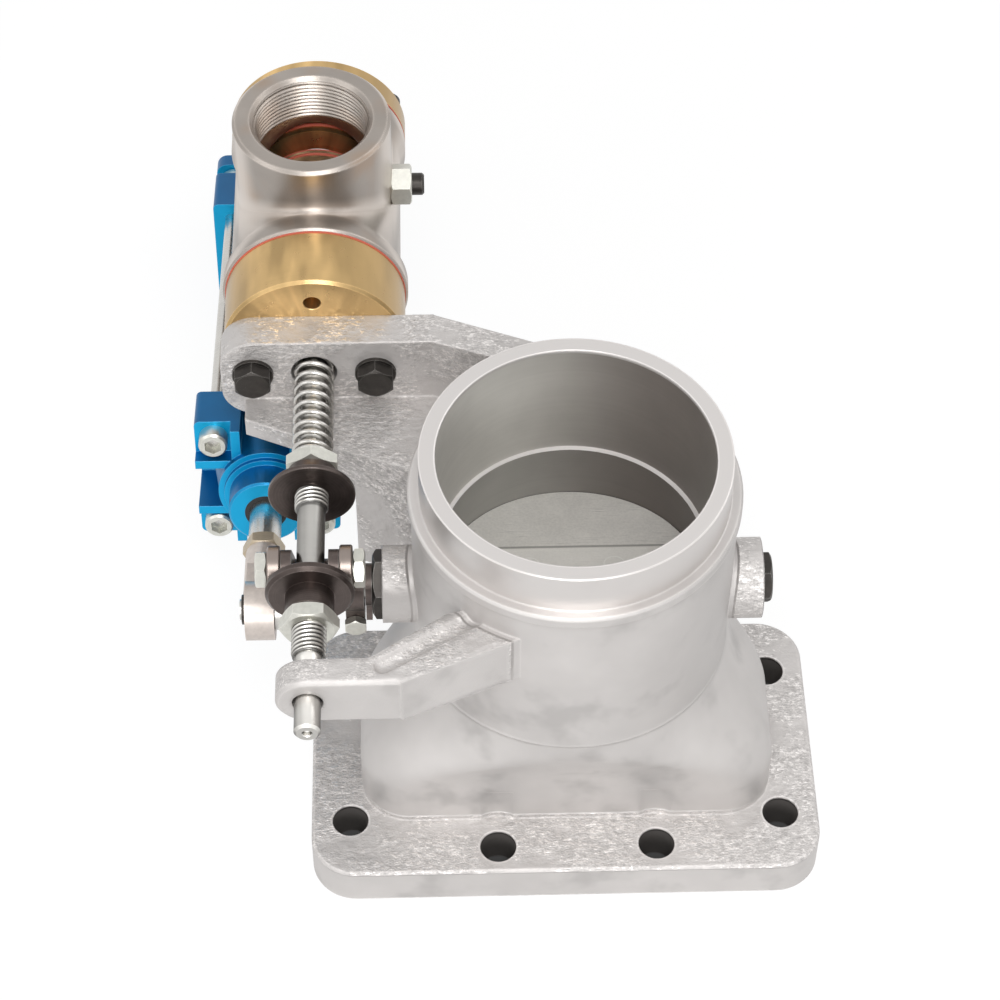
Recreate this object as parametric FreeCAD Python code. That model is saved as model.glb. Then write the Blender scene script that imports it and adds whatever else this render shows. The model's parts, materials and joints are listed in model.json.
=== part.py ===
# Intake throttle casting with its blowdown valve and the cylinder that works both.
#
# X runs along the throttle shaft, Y points away from the viewer, Z is up.
# The origin is where the duct axis meets the underside of the flange.
# The valve stem, its tee and the bracket bolts all run along Y.
import math
import os

import FreeCAD, Part

V = FreeCAD.Vector
X_AXIS = V(1, 0, 0)
Y_AXIS = V(0, 1, 0)
Z_AXIS = V(0, 0, 1)

# Clearances
running_gap = 0.05          # radial, a pin or shaft turning in its bore
open_gap = 0.3              # between faces that pass each other
bolt_gap = 0.4              # radial, a bolt in a plain hole

# Duct
rim_z = 220.0
bore_d = 127.0
spigot_d = 142.4
spigot_length = 22.0
bead_d = 153.0
bead_height = 6.5
barrel_d = 150.0
throat_d = 123.0
ledge_z = 152.0

# Foot and flange
flange_x, flange_y, flange_t = 247.0, 147.0, 22.0
flange_centre = V(-3.2, -20.0, 0)
flange_corner_r = 22.0
corner_holes_x, corner_holes_y = 209.6, 85.4
corner_holes_centre = V(-3.0, -20.0, 0)
middle_holes_x, middle_holes_y = 76.6, 118.4
middle_holes_centre = V(2.0, -20.0, 0)
flange_hole_d = 17.5
spanner_room_d = 36.0
spanner_room_height = 22.0
foot_x, foot_y = 200.0, 86.0
foot_centre = V(-2.2, -20.0, 0)
foot_corner_r = 24.0
foot_wall = 9.0
foot_top_z = 46.0
blend_top_z = 100.0

# Throttle shaft and its bosses
shaft_z = 128.5
shaft_d = 14.0
boss_x = 89.4
boss_r_right = 19.2
boss_r_left = 18.4
boss_bore_d = 20.0
bush_setback = 2.0
gland_neck = 2.9
packing_length = 5.0
gland_hex, gland_head = 29.0, 4.6
plug_hex, plug_head = 22.0, 4.9
collar_d, collar_t, collar_reach = 20.0, 3.0, 17.0

# Throttle disc
closed_tilt = 10.0
disc_t = 5.0
disc_hub_d = 20.0
disc_hub_gap = 3.5
disc_pad_x, disc_pad_y, disc_pad_t = 72.0, 34.0, 2.5
disc_screw_d = 5.0
disc_screw_spacing = 40.0
disc_screw_length = 16.0

# Crank on the shaft: two cheeks that straddle the stem
stem_x = -121.6
stem_z = 162.5
cheek_inner = 8.5
cheek_t = 4.8
crank_hub_r = 12.5
crank_hub_gap = 0.7
roller_y, roller_up = -17.0, 34.0
roller_d, roller_width = 22.0, 5.9
roller_pin_d = 10.0
roller_boss_r = 9.0
roller_head_af, roller_head_t = 16.0, 5.4
pin_y, pin_down = 5.05, 24.6
crank_pin_d = 10.0
crank_pin_boss_r = 9.5
clamp_lug_x, clamp_lug_y, clamp_lug_down = 9.0, 19.0, 23.0
clamp_slit = 1.6
clamp_screw_d, clamp_screw_af, clamp_screw_head = 6.0, 10.0, 4.0
clamp_screw_down = 17.0

# Valve stem and what is on it, front to back
stem_d = 12.0
shank_d = 12.6
thread_d = 16.0
stem_tip_y = -109.0
front_thread_y = -68.5
front_nut_t = 7.8
stem_nut_af = 24.0
disc_d = 41.0
front_hub_d, front_hub_length = 22.6, 11.7
front_rim_t = 4.7
front_face_y = -28.4
rear_face_y = 26.5
rear_thread_out = 9.4
rear_rim_t = 2.2
rear_step_d, rear_step_t = 34.0, 2.2
rear_hub_d, rear_hub_length = 24.0, 8.6
rear_nut_t = 7.8
centre_drill_d = 3.0

# Front arm
arm_front_y = -92.5
arm_t = 13.5
arm_half_height = 14.5
arm_bend_x = -79.0
arm_hole_d = 14.2
arm_edge_r = 1.5

# Rear bracket
wall_front_y = 104.5
wall_t = 18.0
wall_left_x = -167.0
wall_half_height = 20.5
wall_corner_r = 17.0
wall_bottom_z = 133.0
shelf_z = 144.0
shelf_t = 11.0
gusset_bottom_z = 62.0
gusset_t = 13.0
stem_hole_d = 22.4
bracket_bolt_spacing = 59.6
bracket_bolt_d, bracket_bolt_af, bracket_bolt_head = 10.0, 17.0, 6.8
bracket_bolt_grip = 16.0
washer_t = 2.0

# Tee, front bonnet and rear adapter
bonnet_d = 89.0
bonnet_length = 33.0
bonnet_chamfer = 1.4
spigot_in_tee = 12.0
vent_d, vent_z, vent_depth = 8.0, 183.0, 14.0
spring_pocket_depth = 9.0
seal_t = 0.8
tee_bore_d = 60.0
tee_d = 84.6
tee_rim_d, tee_rim_t = 92.0, 8.0
tee_half_length = 54.4
neck_d = 78.0
port_z = 231.0
port_d = 57.2
port_thread_depth = 24.0
port_bore_d = 54.0
adapter_t = 14.0
adapter_d = 90.0
adapter_spigot = 26.0
outlet_d = 44.9
seat_d = 40.0
side_hex, side_hex_t, side_z = 18.4, 10.6, 185.0
side_plug_d, side_plug_t = 11.2, 6.2
side_bore_d = 8.5

# Valve piston on the stem
piston_head_d = 50.0
piston_head_length = 42.0
valve_lift = 7.0
face_seal_d, face_seal_t = 46.0, 4.0
piston_ring_t, piston_ring_depth = 3.2, 2.4
stem_end_d = 10.0
stem_end_nut_af, stem_end_nut_t = 16.0, 6.0

# Return spring
spring_d = 19.9
spring_wire = 2.2

# Cylinder, measured along its own axis back from the eye
cylinder_x = -148.5
cylinder_tilt = 11.0
eye_drop = 0.79
eye_r = 14.3
eye_t = 14.0
eye_bore_d = 14.9
neck_start = 17.0
rod_end_d = 17.6
rod_end_length = 41.0
rod_d = 16.0
rod_thread_d = 12.0
jam_nut_af, jam_nut_t = 18.0, 7.5
nose_start = 73.4
nose_d = 37.4
nose_step_d, nose_step_t = 43.0, 2.5
nose_base_d, nose_base_t = 49.0, 3.5
cap_start = 94.0
front_cap_length, rear_cap_length = 33.4, 31.7
cap_side = 71.0
cap_edge_r = 3.0
cap_slot = 24.4
cap_core_d, cap_core_end_d = 49.0, 60.0
cap_web_t = 4.0
nut_pocket_half = 9.0
nut_pocket_depth = 8.4
barrel_end = 297.0
cylinder_bore_d = 50.0
barrel_od = 56.0
barrel_register = 5.0
tie_rod_offset = 26.0
tie_rod_d = 6.3
tie_nut_d, tie_nut_t = 14.4, 8.2
tie_nut_socket, tie_nut_socket_depth = 8.0, 4.0
pivot_reach = 18.1
clevis_plate_t = 10.0
clevis_corner_r = 6.0
clevis_screw_d = 5.0
ear_inner, ear_outer = 16.0, 30.0
ear_r = 13.0
pivot_pin_d = 12.0
bush_wall, rod_bush_length = 2.5, 18.0
wiper_t = 3.5
air_port_d, air_port_depth = 11.8, 11.0
air_port_seat, air_port_face_d = 26.2, 20.0
cylinder_piston_gap = 4.0
cylinder_piston_length = 22.0
piston_seal_t = 4.0
clip_t = 1.5

# Cylinder bracket behind the tee
bracket_plate_t = 8.0
bracket_plate_r = 42.0
bracket_neck_t = 16.0
bracket_neck_depth = 22.0
bracket_eye_t = 31.2
bracket_eye_r = 14.0
bracket_screw_d, bracket_screw_head_d, bracket_screw_head = 8.0, 13.0, 8.0
bracket_screw_circle_d = 72.0
bracket_screw_angles = (0.0, 180.0)


# Places worked out from the sizes above
bush_inner_x = throat_d / 2 + bush_setback
bush_length = boss_x - gland_neck - packing_length - bush_inner_x
disc_hub_length = throat_d - 2 * disc_hub_gap
crank_hub_right_x = -(boss_x + gland_head + open_gap + collar_t + crank_hub_gap)
wall_back_y = wall_front_y + wall_t
bonnet_back_y = wall_back_y + bonnet_length
tee_front_y = bonnet_back_y + seal_t
tee_centre_y = tee_front_y + tee_half_length
tee_back_y = tee_centre_y + tee_half_length
adapter_front_y = tee_back_y + seal_t
adapter_back_y = adapter_front_y + adapter_t
seat_y = adapter_front_y - adapter_spigot
piston_back_y = seat_y - open_gap - valve_lift - face_seal_t
spring_front_y = rear_face_y + rear_rim_t + rear_step_t + rear_hub_length + rear_nut_t
spring_back_y = wall_back_y + spring_pocket_depth
cheek_outer = cheek_inner + cheek_t
roller_inner = cheek_outer + open_gap
roller_outer = roller_inner + roller_width
head_inner = roller_outer + open_gap
crank_left_x = stem_x - cheek_outer
tilt = math.radians(cylinder_tilt)
axis_back = V(0, math.cos(tilt), -math.sin(tilt))
axis_up = V(0, math.sin(tilt), math.cos(tilt))
crank_pin = V(0, pin_y, shaft_z - pin_down)
eye = V(cylinder_x, crank_pin.y, crank_pin.z) - axis_up * eye_drop
cap_end = cap_start + front_cap_length
rear_cap_end = barrel_end + rear_cap_length
clevis_start = rear_cap_end + tie_nut_t
clevis_end = clevis_start + clevis_plate_t
pivot_distance = clevis_end + pivot_reach
pivot = eye + axis_back * pivot_distance
cylinder_piston_start = (barrel_end - barrel_register - cylinder_piston_gap
                         - cylinder_piston_length)


# Helpers

def along(axis, start, radius, length):
    """A round bar from a point along an axis."""
    return Part.makeCylinder(radius, length, start, axis)


def ring(axis, start, outer_r, inner_r, length):
    return along(axis, start, outer_r, length).cut(along(axis, start, inner_r, length))


def square_to(axis):
    """The direction square to an axis that is nearest to Z, or X for an upright axis."""
    near = Z_AXIS if abs(axis.z) < 0.5 else X_AXIS
    return (near - axis * near.dot(axis)).normalize()


def turned(axis, start, profile):
    """A turned piece from (distance, radius) pairs, closed along its axis."""
    side = square_to(axis)
    points = [start + axis * profile[0][0]]
    points += [start + axis * s + side * r for s, r in profile]
    points += [start + axis * profile[-1][0], points[0]]
    face = Part.Face(Part.makePolygon(points))
    return face.revolve(start, axis, 360)


def hex_bar(axis, start, across_flats, length, turn=0.0):
    """A hexagonal bar; turn is the angle of its first corner from Z, or from X."""
    side = square_to(axis)
    other = axis.cross(side)
    reach = across_flats / math.sqrt(3)
    points = []
    for k in range(7):
        angle = math.radians(turn + 60 * k)
        points.append(start + side * (reach * math.cos(angle)) + other * (reach * math.sin(angle)))
    return Part.Face(Part.makePolygon(points)).extrude(axis * length)


def hex_nut(axis, start, across_flats, length, turn=0.0, front=True, back=True):
    """A hexagonal nut or head with its corners turned off at 30 degrees."""
    corner = across_flats / math.sqrt(3)
    flat = 0.95 * across_flats / 2
    fall = (corner - flat) * math.tan(math.radians(30))
    profile = [(0, flat if front else corner)]
    profile += [(fall, corner)] if front else []
    profile += [(length - fall, corner)] if back else []
    profile += [(length, flat if back else corner)]
    return hex_bar(axis, start, across_flats, length, turn).common(turned(axis, start, profile))


def rounded_outline(centre, half_x, half_y, r, z):
    """A rounded rectangle as a wire of four sides and four arcs."""
    def at(x, y):
        return V(centre.x + x, centre.y + y, z)
    edges = []
    corners = [(1, -1, -90), (1, 1, 0), (-1, 1, 90), (-1, -1, 180)]
    for sx, sy, start in corners:
        middle = at(sx * (half_x - r), sy * (half_y - r))
        ends = []
        for angle in (start, start + 45, start + 90):
            a = math.radians(angle)
            ends.append(middle + V(r * math.cos(a), r * math.sin(a), 0))
        edges.append(Part.Arc(*ends).toShape())
    sides = []
    for k, arc in enumerate(edges):
        sides.append(arc)
        nearest = edges[(k + 1) % 4]
        sides.append(Part.makeLine(arc.Vertexes[-1].Point, nearest.Vertexes[0].Point))
    return Part.Wire(sides)


def circle_outline(r, z, side_angle=8.0):
    """A circle in eight arcs, so that it lofts onto a rounded rectangle."""
    edges = []
    for quarter in (-90, 0, 90, 180):
        stops = (side_angle, 45, 90 - side_angle, 90, 90 + side_angle)
        angles = [math.radians(quarter + a) for a in stops]
        points = [V(r * math.cos(a), r * math.sin(a), z) for a in angles]
        edges.append(Part.Arc(*points[:3]).toShape())
        edges.append(Part.Arc(*points[2:]).toShape())
    return Part.Wire(edges)


def rounded_prism(centre, size_x, size_y, r, bottom, top):
    outline = rounded_outline(centre, size_x / 2, size_y / 2, r, bottom)
    return Part.Face(outline).extrude(Z_AXIS * (top - bottom))


def plan_prism(points, bottom, top):
    """An upright prism over a plan given by its corners."""
    corners = [V(x, y, bottom) for x, y in points]
    return Part.Face(Part.makePolygon(corners + corners[:1])).extrude(Z_AXIS * (top - bottom))


def box(x0, x1, y0, y1, z0, z1):
    return Part.makeBox(x1 - x0, y1 - y0, z1 - z0, V(x0, y0, z0))


def pattern(centre, spacing_x, spacing_y):
    return [V(centre.x + sx * spacing_x / 2, centre.y + sy * spacing_y / 2, 0)
            for sx in (-1, 1) for sy in (-1, 1)]


def flare(top_r, half_x, half_y, corner_r, bottom_centre, bottom, top):
    """The smooth change from the oblong foot to the round barrel."""
    sections = []
    steps = 4
    for k in range(steps):
        t = k / steps
        ease = 0.5 - 0.5 * math.cos(math.pi * t)
        x = half_x + (top_r - half_x) * ease
        y = half_y + (top_r - half_y) * ease
        r = min(corner_r + (top_r - 1 - corner_r) * ease, x - 1, y - 1)
        z = bottom + (top - bottom) * t
        sections.append(rounded_outline(bottom_centre * (1 - ease), x, y, r, z))
    sections.append(circle_outline(top_r, top))
    return Part.makeLoft(sections, True, False)


def at_stem(y):
    return V(stem_x, y, stem_z)


def in_cylinder(distance, x=0.0, up=0.0):
    """A point of the cylinder from its distance back from the eye."""
    return eye + axis_back * distance + X_AXIS * x + axis_up * up


def cylinder_block(start, end, half_x, half_up, x=0.0, up=0.0):
    """A block square to the cylinder's axis."""
    corners = []
    for sx, su in ((-1, -1), (1, -1), (1, 1), (-1, 1)):
        corners.append(in_cylinder(start, x + sx * half_x, up + su * half_up))
    return Part.Face(Part.makePolygon(corners + corners[:1])).extrude(axis_back * (end - start))


def corners_of(offset):
    return [(sx * offset, su * offset) for sx in (-1, 1) for su in (-1, 1)]


# The casting

def duct_outside():
    barrel = along(Z_AXIS, V(0, 0, blend_top_z), barrel_d / 2,
                   rim_z - spigot_length - bead_height - blend_top_z)
    bead = along(Z_AXIS, V(0, 0, rim_z - spigot_length - bead_height), bead_d / 2, bead_height)
    spigot = along(Z_AXIS, V(0, 0, rim_z - spigot_length), spigot_d / 2, spigot_length)
    bead = bead.makeChamfer(1.0, [e for e in bead.Edges if len(e.Vertexes) == 1])
    return barrel.multiFuse([bead, spigot])


def flange_plate():
    plate = rounded_prism(flange_centre, flange_x, flange_y, flange_corner_r, 0, flange_t)
    top = [e for e in plate.Edges if e.BoundBox.ZMin > flange_t - 0.01]
    return plate.makeChamfer(1.2, top)


def foot_outside():
    lower = rounded_prism(foot_centre, foot_x, foot_y, foot_corner_r, flange_t - 2, foot_top_z)
    upper = flare(barrel_d / 2, foot_x / 2, foot_y / 2, foot_corner_r, foot_centre,
                  foot_top_z, blend_top_z)
    return lower.fuse(upper)


def foot_inside():
    half_x, half_y = foot_x / 2 - foot_wall, foot_y / 2 - foot_wall
    r = foot_corner_r - foot_wall
    lower = rounded_prism(foot_centre, 2 * half_x, 2 * half_y, r, -1, foot_top_z - 4)
    upper = flare(throat_d / 2, half_x, half_y, r, foot_centre, foot_top_z - 4, blend_top_z - 6)
    return lower.fuse(upper)


def front_arm():
    """The bent arm that steadies the front of the stem."""
    back_y = arm_front_y + arm_t
    end = along(Y_AXIS, at_stem(arm_front_y), arm_half_height, arm_t)
    bar = box(stem_x, arm_bend_x, arm_front_y, back_y, stem_z - arm_half_height,
              stem_z + arm_half_height)
    straight = end.fuse(bar).removeSplitter()
    rim = [e for e in straight.Edges if e.BoundBox.YMax < arm_front_y + 0.01]
    straight = straight.makeChamfer(arm_edge_r, rim)
    meet_r = barrel_d / 2
    bent = plan_prism([(arm_bend_x - 1, arm_front_y), (-26, -0.93 * meet_r), (-20, -0.6 * meet_r),
                       (-60, -0.74 * meet_r), (arm_bend_x - 15, back_y)],
                      stem_z - arm_half_height, stem_z + arm_half_height)
    groove_start = V(arm_bend_x - 9, back_y - 4.5, stem_z + arm_half_height + 2.5)
    groove_end = V(-45, -0.76 * meet_r, stem_z + arm_half_height + 2.5)
    groove = along(groove_end - groove_start, groove_start, 5.0, (groove_end - groove_start).Length)
    groove = groove.fuse(Part.makeSphere(5.0, groove_end)).fuse(Part.makeSphere(5.0, groove_start))
    return straight.fuse(bent).cut(groove)


def rear_bracket():
    """The wall that carries the tee, with its shelf and gusset."""
    wall = box(wall_left_x, -63, wall_front_y, wall_back_y, wall_bottom_z,
               stem_z + wall_half_height)
    ends = [e for e in wall.Edges if abs(e.BoundBox.XMax - wall_left_x) < 0.01
            and e.BoundBox.YLength > wall_t - 0.1]
    wall = wall.makeFillet(wall_corner_r, ends)
    reach = barrel_d / 2
    web = plan_prism([(-64, wall_front_y), (-36, wall_front_y - 10), (-8, reach + 7), (0, 0.8 * reach),
                      (45, 0.6 * reach), (28, reach + 9), (-16, wall_front_y - 1), (-64, wall_back_y)],
                     shelf_z - shelf_t, stem_z + wall_half_height)
    shelf = plan_prism([(wall_left_x + 11, wall_front_y + 1), (wall_left_x + 11, 91), (-113, 72),
                        (-77, 57.5), (-50, 46), (0, 0.8 * reach), (-8, reach + 8),
                        (-36, wall_front_y - 9), (-64, wall_front_y + 1)],
                       shelf_z - shelf_t, shelf_z)
    slope = V(-77 + 113, 57.5 - 72, 0).normalize()
    square = V(-slope.y, slope.x, 0)
    left = V(-103, 72 - 10 * 14.5 / 36, 0)
    right = left + slope * 60
    gusset = plan_prism([(left.x, left.y), (right.x, right.y),
                         (right.x + square.x * gusset_t + 8, right.y + square.y * gusset_t),
                         (left.x + square.x * gusset_t, left.y + square.y * gusset_t)],
                        gusset_bottom_z, shelf_z - 1)
    return wall.multiFuse([web, shelf, gusset])


def valve_body():
    bosses = [along(X_AXIS, V(60, 0, shaft_z), boss_r_right, boss_x - 60),
              along(X_AXIS, V(-boss_x, 0, shaft_z), boss_r_left, boss_x - 60)]
    body = flange_plate().multiFuse([foot_outside(), duct_outside(), front_arm(), rear_bracket()]
                                    + bosses)
    cuts = [along(Z_AXIS, V(0, 0, ledge_z), bore_d / 2, rim_z - ledge_z + 1),
            along(Z_AXIS, V(0, 0, blend_top_z - 6), throat_d / 2, ledge_z - blend_top_z + 7),
            foot_inside(),
            along(X_AXIS, V(-boss_x - 1, 0, shaft_z), boss_bore_d / 2, 2 * boss_x + 2),
            along(Y_AXIS, at_stem(arm_front_y - 1), arm_hole_d / 2, arm_t + 2),
            along(Y_AXIS, at_stem(wall_front_y - 1), stem_hole_d / 2, wall_t + 2)]
    for side in (-1, 1):
        start = at_stem(wall_front_y - 1) + X_AXIS * (side * bracket_bolt_spacing / 2)
        cuts.append(along(Y_AXIS, start, bracket_bolt_d / 2 + bolt_gap, wall_t + 2))
    corner = pattern(corner_holes_centre, corner_holes_x, corner_holes_y)
    middle = pattern(middle_holes_centre, middle_holes_x, middle_holes_y)
    for place in corner + middle:
        cuts.append(along(Z_AXIS, place - Z_AXIS, flange_hole_d / 2, flange_t + 2))
    for place in middle:
        cuts.append(along(Z_AXIS, place + Z_AXIS * flange_t, spanner_room_d / 2,
                          spanner_room_height))
    return body.cut(Part.makeCompound(cuts)).removeSplitter()


# Throttle shaft, disc and bearings

def throttle_shaft():
    bar = along(X_AXIS, V(crank_left_x, 0, shaft_z), shaft_d / 2,
                bush_inner_x + bush_length - 1 - crank_left_x)
    return bar.cut(Part.makeCompound(disc_screws()))


def tilted(shape):
    shape = shape.copy()
    shape.rotate(V(0, 0, shaft_z), X_AXIS, -closed_tilt)
    return shape


def throttle_disc():
    """A plate whose edge is turned to the throat while it lies at its closed angle."""
    reach = throat_d
    plate = tilted(box(-reach, reach, -reach, reach, shaft_z - disc_t / 2, shaft_z + disc_t / 2))
    plate = plate.common(along(Z_AXIS, V(0, 0, shaft_z - reach), throat_d / 2 - open_gap, 2 * reach))
    hub = along(X_AXIS, V(-disc_hub_length / 2, 0, shaft_z), disc_hub_d / 2, disc_hub_length)
    pad_top = shaft_z + disc_hub_d / 2 + 0.5
    pad = box(-disc_pad_x / 2, disc_pad_x / 2, -disc_pad_y / 2, disc_pad_y / 2,
              shaft_z + disc_t / 2 - 0.5, shaft_z + disc_t / 2 + disc_pad_t)
    spine = box(-disc_pad_x / 2, disc_pad_x / 2, -disc_hub_d / 2, disc_hub_d / 2, shaft_z, pad_top)
    disc = plate.multiFuse([hub, tilted(pad), tilted(spine)])
    disc = disc.cut(along(X_AXIS, V(-reach, 0, shaft_z), shaft_d / 2, 2 * reach))
    return disc.cut(Part.makeCompound(disc_screws())).removeSplitter()


def disc_screws():
    screws = []
    top = shaft_z + disc_hub_d / 2 + 0.5
    for side in (-1, 1):
        start = V(side * disc_screw_spacing / 2, 0, top)
        head = Part.makeCone(disc_screw_d, disc_screw_d / 2, disc_screw_d / 2, start, -Z_AXIS)
        screws.append(tilted(head.fuse(along(-Z_AXIS, start, disc_screw_d / 2,
                                            disc_screw_length))))
    return screws


def shaft_bush(side):
    start = V(bush_inner_x if side > 0 else -bush_inner_x - bush_length, 0, shaft_z)
    return ring(X_AXIS, start, boss_bore_d / 2, shaft_d / 2 + running_gap, bush_length)


def shaft_packing():
    start = V(-bush_inner_x - bush_length - packing_length, 0, shaft_z)
    return ring(X_AXIS, start, boss_bore_d / 2, shaft_d / 2 + running_gap, packing_length)


def gland_nut():
    neck = gland_neck
    head = hex_nut(-X_AXIS, V(-boss_x, 0, shaft_z), gland_hex, gland_head, 0, False, True)
    body = head.fuse(along(X_AXIS, V(-boss_x, 0, shaft_z), boss_bore_d / 2, neck))
    return body.cut(along(-X_AXIS, V(-boss_x + neck, 0, shaft_z), shaft_d / 2 + running_gap,
                          neck + gland_head))


def end_plug():
    neck = boss_x - bush_inner_x - bush_length
    head = hex_nut(X_AXIS, V(boss_x, 0, shaft_z), plug_hex, plug_head, 90, False, True)
    return head.fuse(along(-X_AXIS, V(boss_x, 0, shaft_z), boss_bore_d / 2, neck - open_gap))


def stop_collar():
    """A black collar between the gland and the crank, with its stop pointing down and forward."""
    x = -boss_x - gland_head - open_gap - collar_t
    start = V(x, 0, shaft_z)
    body = along(X_AXIS, start, collar_d / 2, collar_t)
    lug = box(x, x + collar_t, -4, 4, shaft_z - collar_reach, shaft_z)
    lug.rotate(start, X_AXIS, -25)
    return body.fuse(lug).cut(along(X_AXIS, start, shaft_d / 2, collar_t))


# Crank, rollers and crank pin

def cheek(x, arms):
    """One cheek: bosses at the ends of its arms, joined to the hub by tangent flanks."""
    hub_at = V(x, 0, shaft_z)
    plate = along(X_AXIS, hub_at, crank_hub_r, cheek_t)
    for y, up, r in arms:
        end_at = V(x, y, shaft_z + up)
        step = end_at - hub_at
        reach = step.Length
        lean = math.acos((crank_hub_r - r) / reach)
        base = math.atan2(step.z, step.y)
        points = []
        for centre, radius, sign in ((hub_at, crank_hub_r, 1), (end_at, r, 1),
                                     (end_at, r, -1), (hub_at, crank_hub_r, -1)):
            angle = base + sign * lean
            points.append(centre + V(0, radius * math.cos(angle), radius * math.sin(angle)))
        flank = Part.Face(Part.makePolygon(points + points[:1])).extrude(X_AXIS * cheek_t)
        plate = plate.multiFuse([along(X_AXIS, end_at, r, cheek_t), flank])
    return plate


def crank():
    roller_arm = (roller_y, roller_up, roller_boss_r)
    pin_arm = (pin_y, -pin_down, crank_pin_boss_r)
    left = cheek(crank_left_x, [roller_arm, pin_arm])
    right = cheek(stem_x + cheek_inner, [roller_arm])
    hub = along(X_AXIS, V(crank_left_x, 0, shaft_z), crank_hub_r, crank_hub_right_x - crank_left_x)
    lug = box(crank_hub_right_x - clamp_lug_x, crank_hub_right_x, -clamp_lug_y / 2,
              clamp_lug_y / 2, shaft_z - clamp_lug_down, shaft_z)
    body = left.multiFuse([right, hub, lug])
    slit = box(crank_hub_right_x - clamp_lug_x - 1, crank_hub_right_x + 1, -clamp_slit / 2,
               clamp_slit / 2, shaft_z - clamp_lug_down - 1, shaft_z)
    cuts = [along(X_AXIS, V(crank_left_x - 1, 0, shaft_z), shaft_d / 2, 60), slit,
            along(X_AXIS, V(crank_left_x - 1, crank_pin.y, crank_pin.z), crank_pin_d / 2,
                  cheek_t + 2),
            along(Y_AXIS, clamp_screw_start(), clamp_screw_d / 2, clamp_lug_y)]
    for side in (-1, 1):
        cuts.append(along(X_AXIS * side, roller_axis(side, cheek_inner - 1), roller_pin_d / 2,
                          cheek_t + 2))
    return body.cut(Part.makeCompound(cuts)).removeSplitter()


def roller_axis(side, out):
    return V(stem_x + side * out, roller_y, shaft_z + roller_up)


def roller_bolt(side):
    start = roller_axis(side, cheek_inner)
    pin = along(X_AXIS * side, start, roller_pin_d / 2, head_inner - cheek_inner)
    head = hex_nut(X_AXIS * side, roller_axis(side, head_inner), roller_head_af, roller_head_t, 20)
    return pin.fuse(head)


def roller(side):
    start = roller_axis(side, roller_inner)
    inner = roller_pin_d / 2 + running_gap
    profile = [(0, roller_d / 2 - 0.6), (0.6, roller_d / 2), (roller_width - 0.6, roller_d / 2),
               (roller_width, roller_d / 2 - 0.6)]
    return turned(X_AXIS * side, start, profile).cut(along(X_AXIS * side, start, inner, roller_width))


def clamp_screw_start():
    return V(crank_hub_right_x - clamp_lug_x / 2, -clamp_lug_y / 2, shaft_z - clamp_screw_down)


def clamp_screw():
    head = hex_nut(-Y_AXIS, clamp_screw_start(), clamp_screw_af, clamp_screw_head, 0)
    return head.fuse(along(Y_AXIS, clamp_screw_start(), clamp_screw_d / 2, clamp_lug_y))


def crank_pin_start():
    return V(cylinder_x - eye_t / 2 - open_gap - clip_t - 1.0, crank_pin.y, crank_pin.z)


def crank_pin_bar():
    end_x = stem_x - cheek_inner
    start = crank_pin_start()
    return along(X_AXIS, start, crank_pin_d / 2, end_x - start.x)


def crank_pin_clip():
    start = V(cylinder_x - eye_t / 2 - open_gap - clip_t, crank_pin.y, crank_pin.z)
    return ring(X_AXIS, start, 0.72 * crank_pin_d, crank_pin_d / 2, clip_t)


def crank_pin_spacer():
    start = V(cylinder_x + eye_t / 2 + open_gap, crank_pin.y, crank_pin.z)
    return ring(X_AXIS, start, 1.0 * crank_pin_d, crank_pin_d / 2, crank_left_x - start.x)


# Stem, discs and nuts

def front_stack():
    """Places of the front rim, hub and nut, counted forward from the disc's working face."""
    rim = front_face_y - front_rim_t
    hub = rim - front_hub_length
    return rim, hub, hub - front_nut_t


def rear_stack():
    step = rear_face_y + rear_rim_t
    hub = step + rear_step_t
    nut = hub + rear_hub_length
    return step, hub, nut


def valve_stem():
    rim, hub, nut = front_stack()
    end = piston_back_y + face_seal_t + stem_end_nut_t
    shoulder = piston_back_y - piston_head_length + 10
    profile = [(stem_tip_y, stem_d / 2 - 1.2), (stem_tip_y + 1.2, stem_d / 2),
               (front_thread_y, stem_d / 2), (front_thread_y, thread_d / 2 - 1.6),
               (front_thread_y + 3, thread_d / 2 - 1.6), (front_thread_y + 4, thread_d / 2),
               (front_face_y + 0.5, thread_d / 2), (front_face_y + 2, shank_d / 2),
               (rear_face_y - rear_thread_out - 1.5, shank_d / 2),
               (rear_face_y - rear_thread_out, thread_d / 2), (spring_front_y, thread_d / 2),
               (spring_front_y, stem_d / 2), (shoulder, stem_d / 2), (shoulder, stem_end_d / 2),
               (end, stem_end_d / 2)]
    stem = turned(Y_AXIS, at_stem(0), profile)
    drill = Part.makeCone(centre_drill_d, 0, centre_drill_d, at_stem(stem_tip_y), Y_AXIS)
    return stem.cut(drill)


def front_disc():
    rim, hub, nut = front_stack()
    lip = 1.0
    profile = [(hub, front_hub_d / 2 - lip), (hub + lip, front_hub_d / 2), (rim, front_hub_d / 2),
               (rim, disc_d / 2 - 1.6), (rim + 1.6, disc_d / 2), (front_face_y - 0.6, disc_d / 2),
               (front_face_y, disc_d / 2 - 0.6)]
    bore = along(Y_AXIS, at_stem(hub), thread_d / 2, front_face_y - hub)
    return turned(Y_AXIS, at_stem(0), profile).cut(bore)


def rear_disc():
    step, hub, nut = rear_stack()
    profile = [(rear_face_y, disc_d / 2 - 0.4), (rear_face_y + 0.4, disc_d / 2), (step, disc_d / 2),
               (step, rear_step_d / 2), (hub, rear_step_d / 2 - 1.5), (hub, rear_hub_d / 2 + 2.5),
               (nut, rear_hub_d / 2)]
    bore = along(Y_AXIS, at_stem(rear_face_y), thread_d / 2, nut - rear_face_y)
    return turned(Y_AXIS, at_stem(0), profile).cut(bore)


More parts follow.
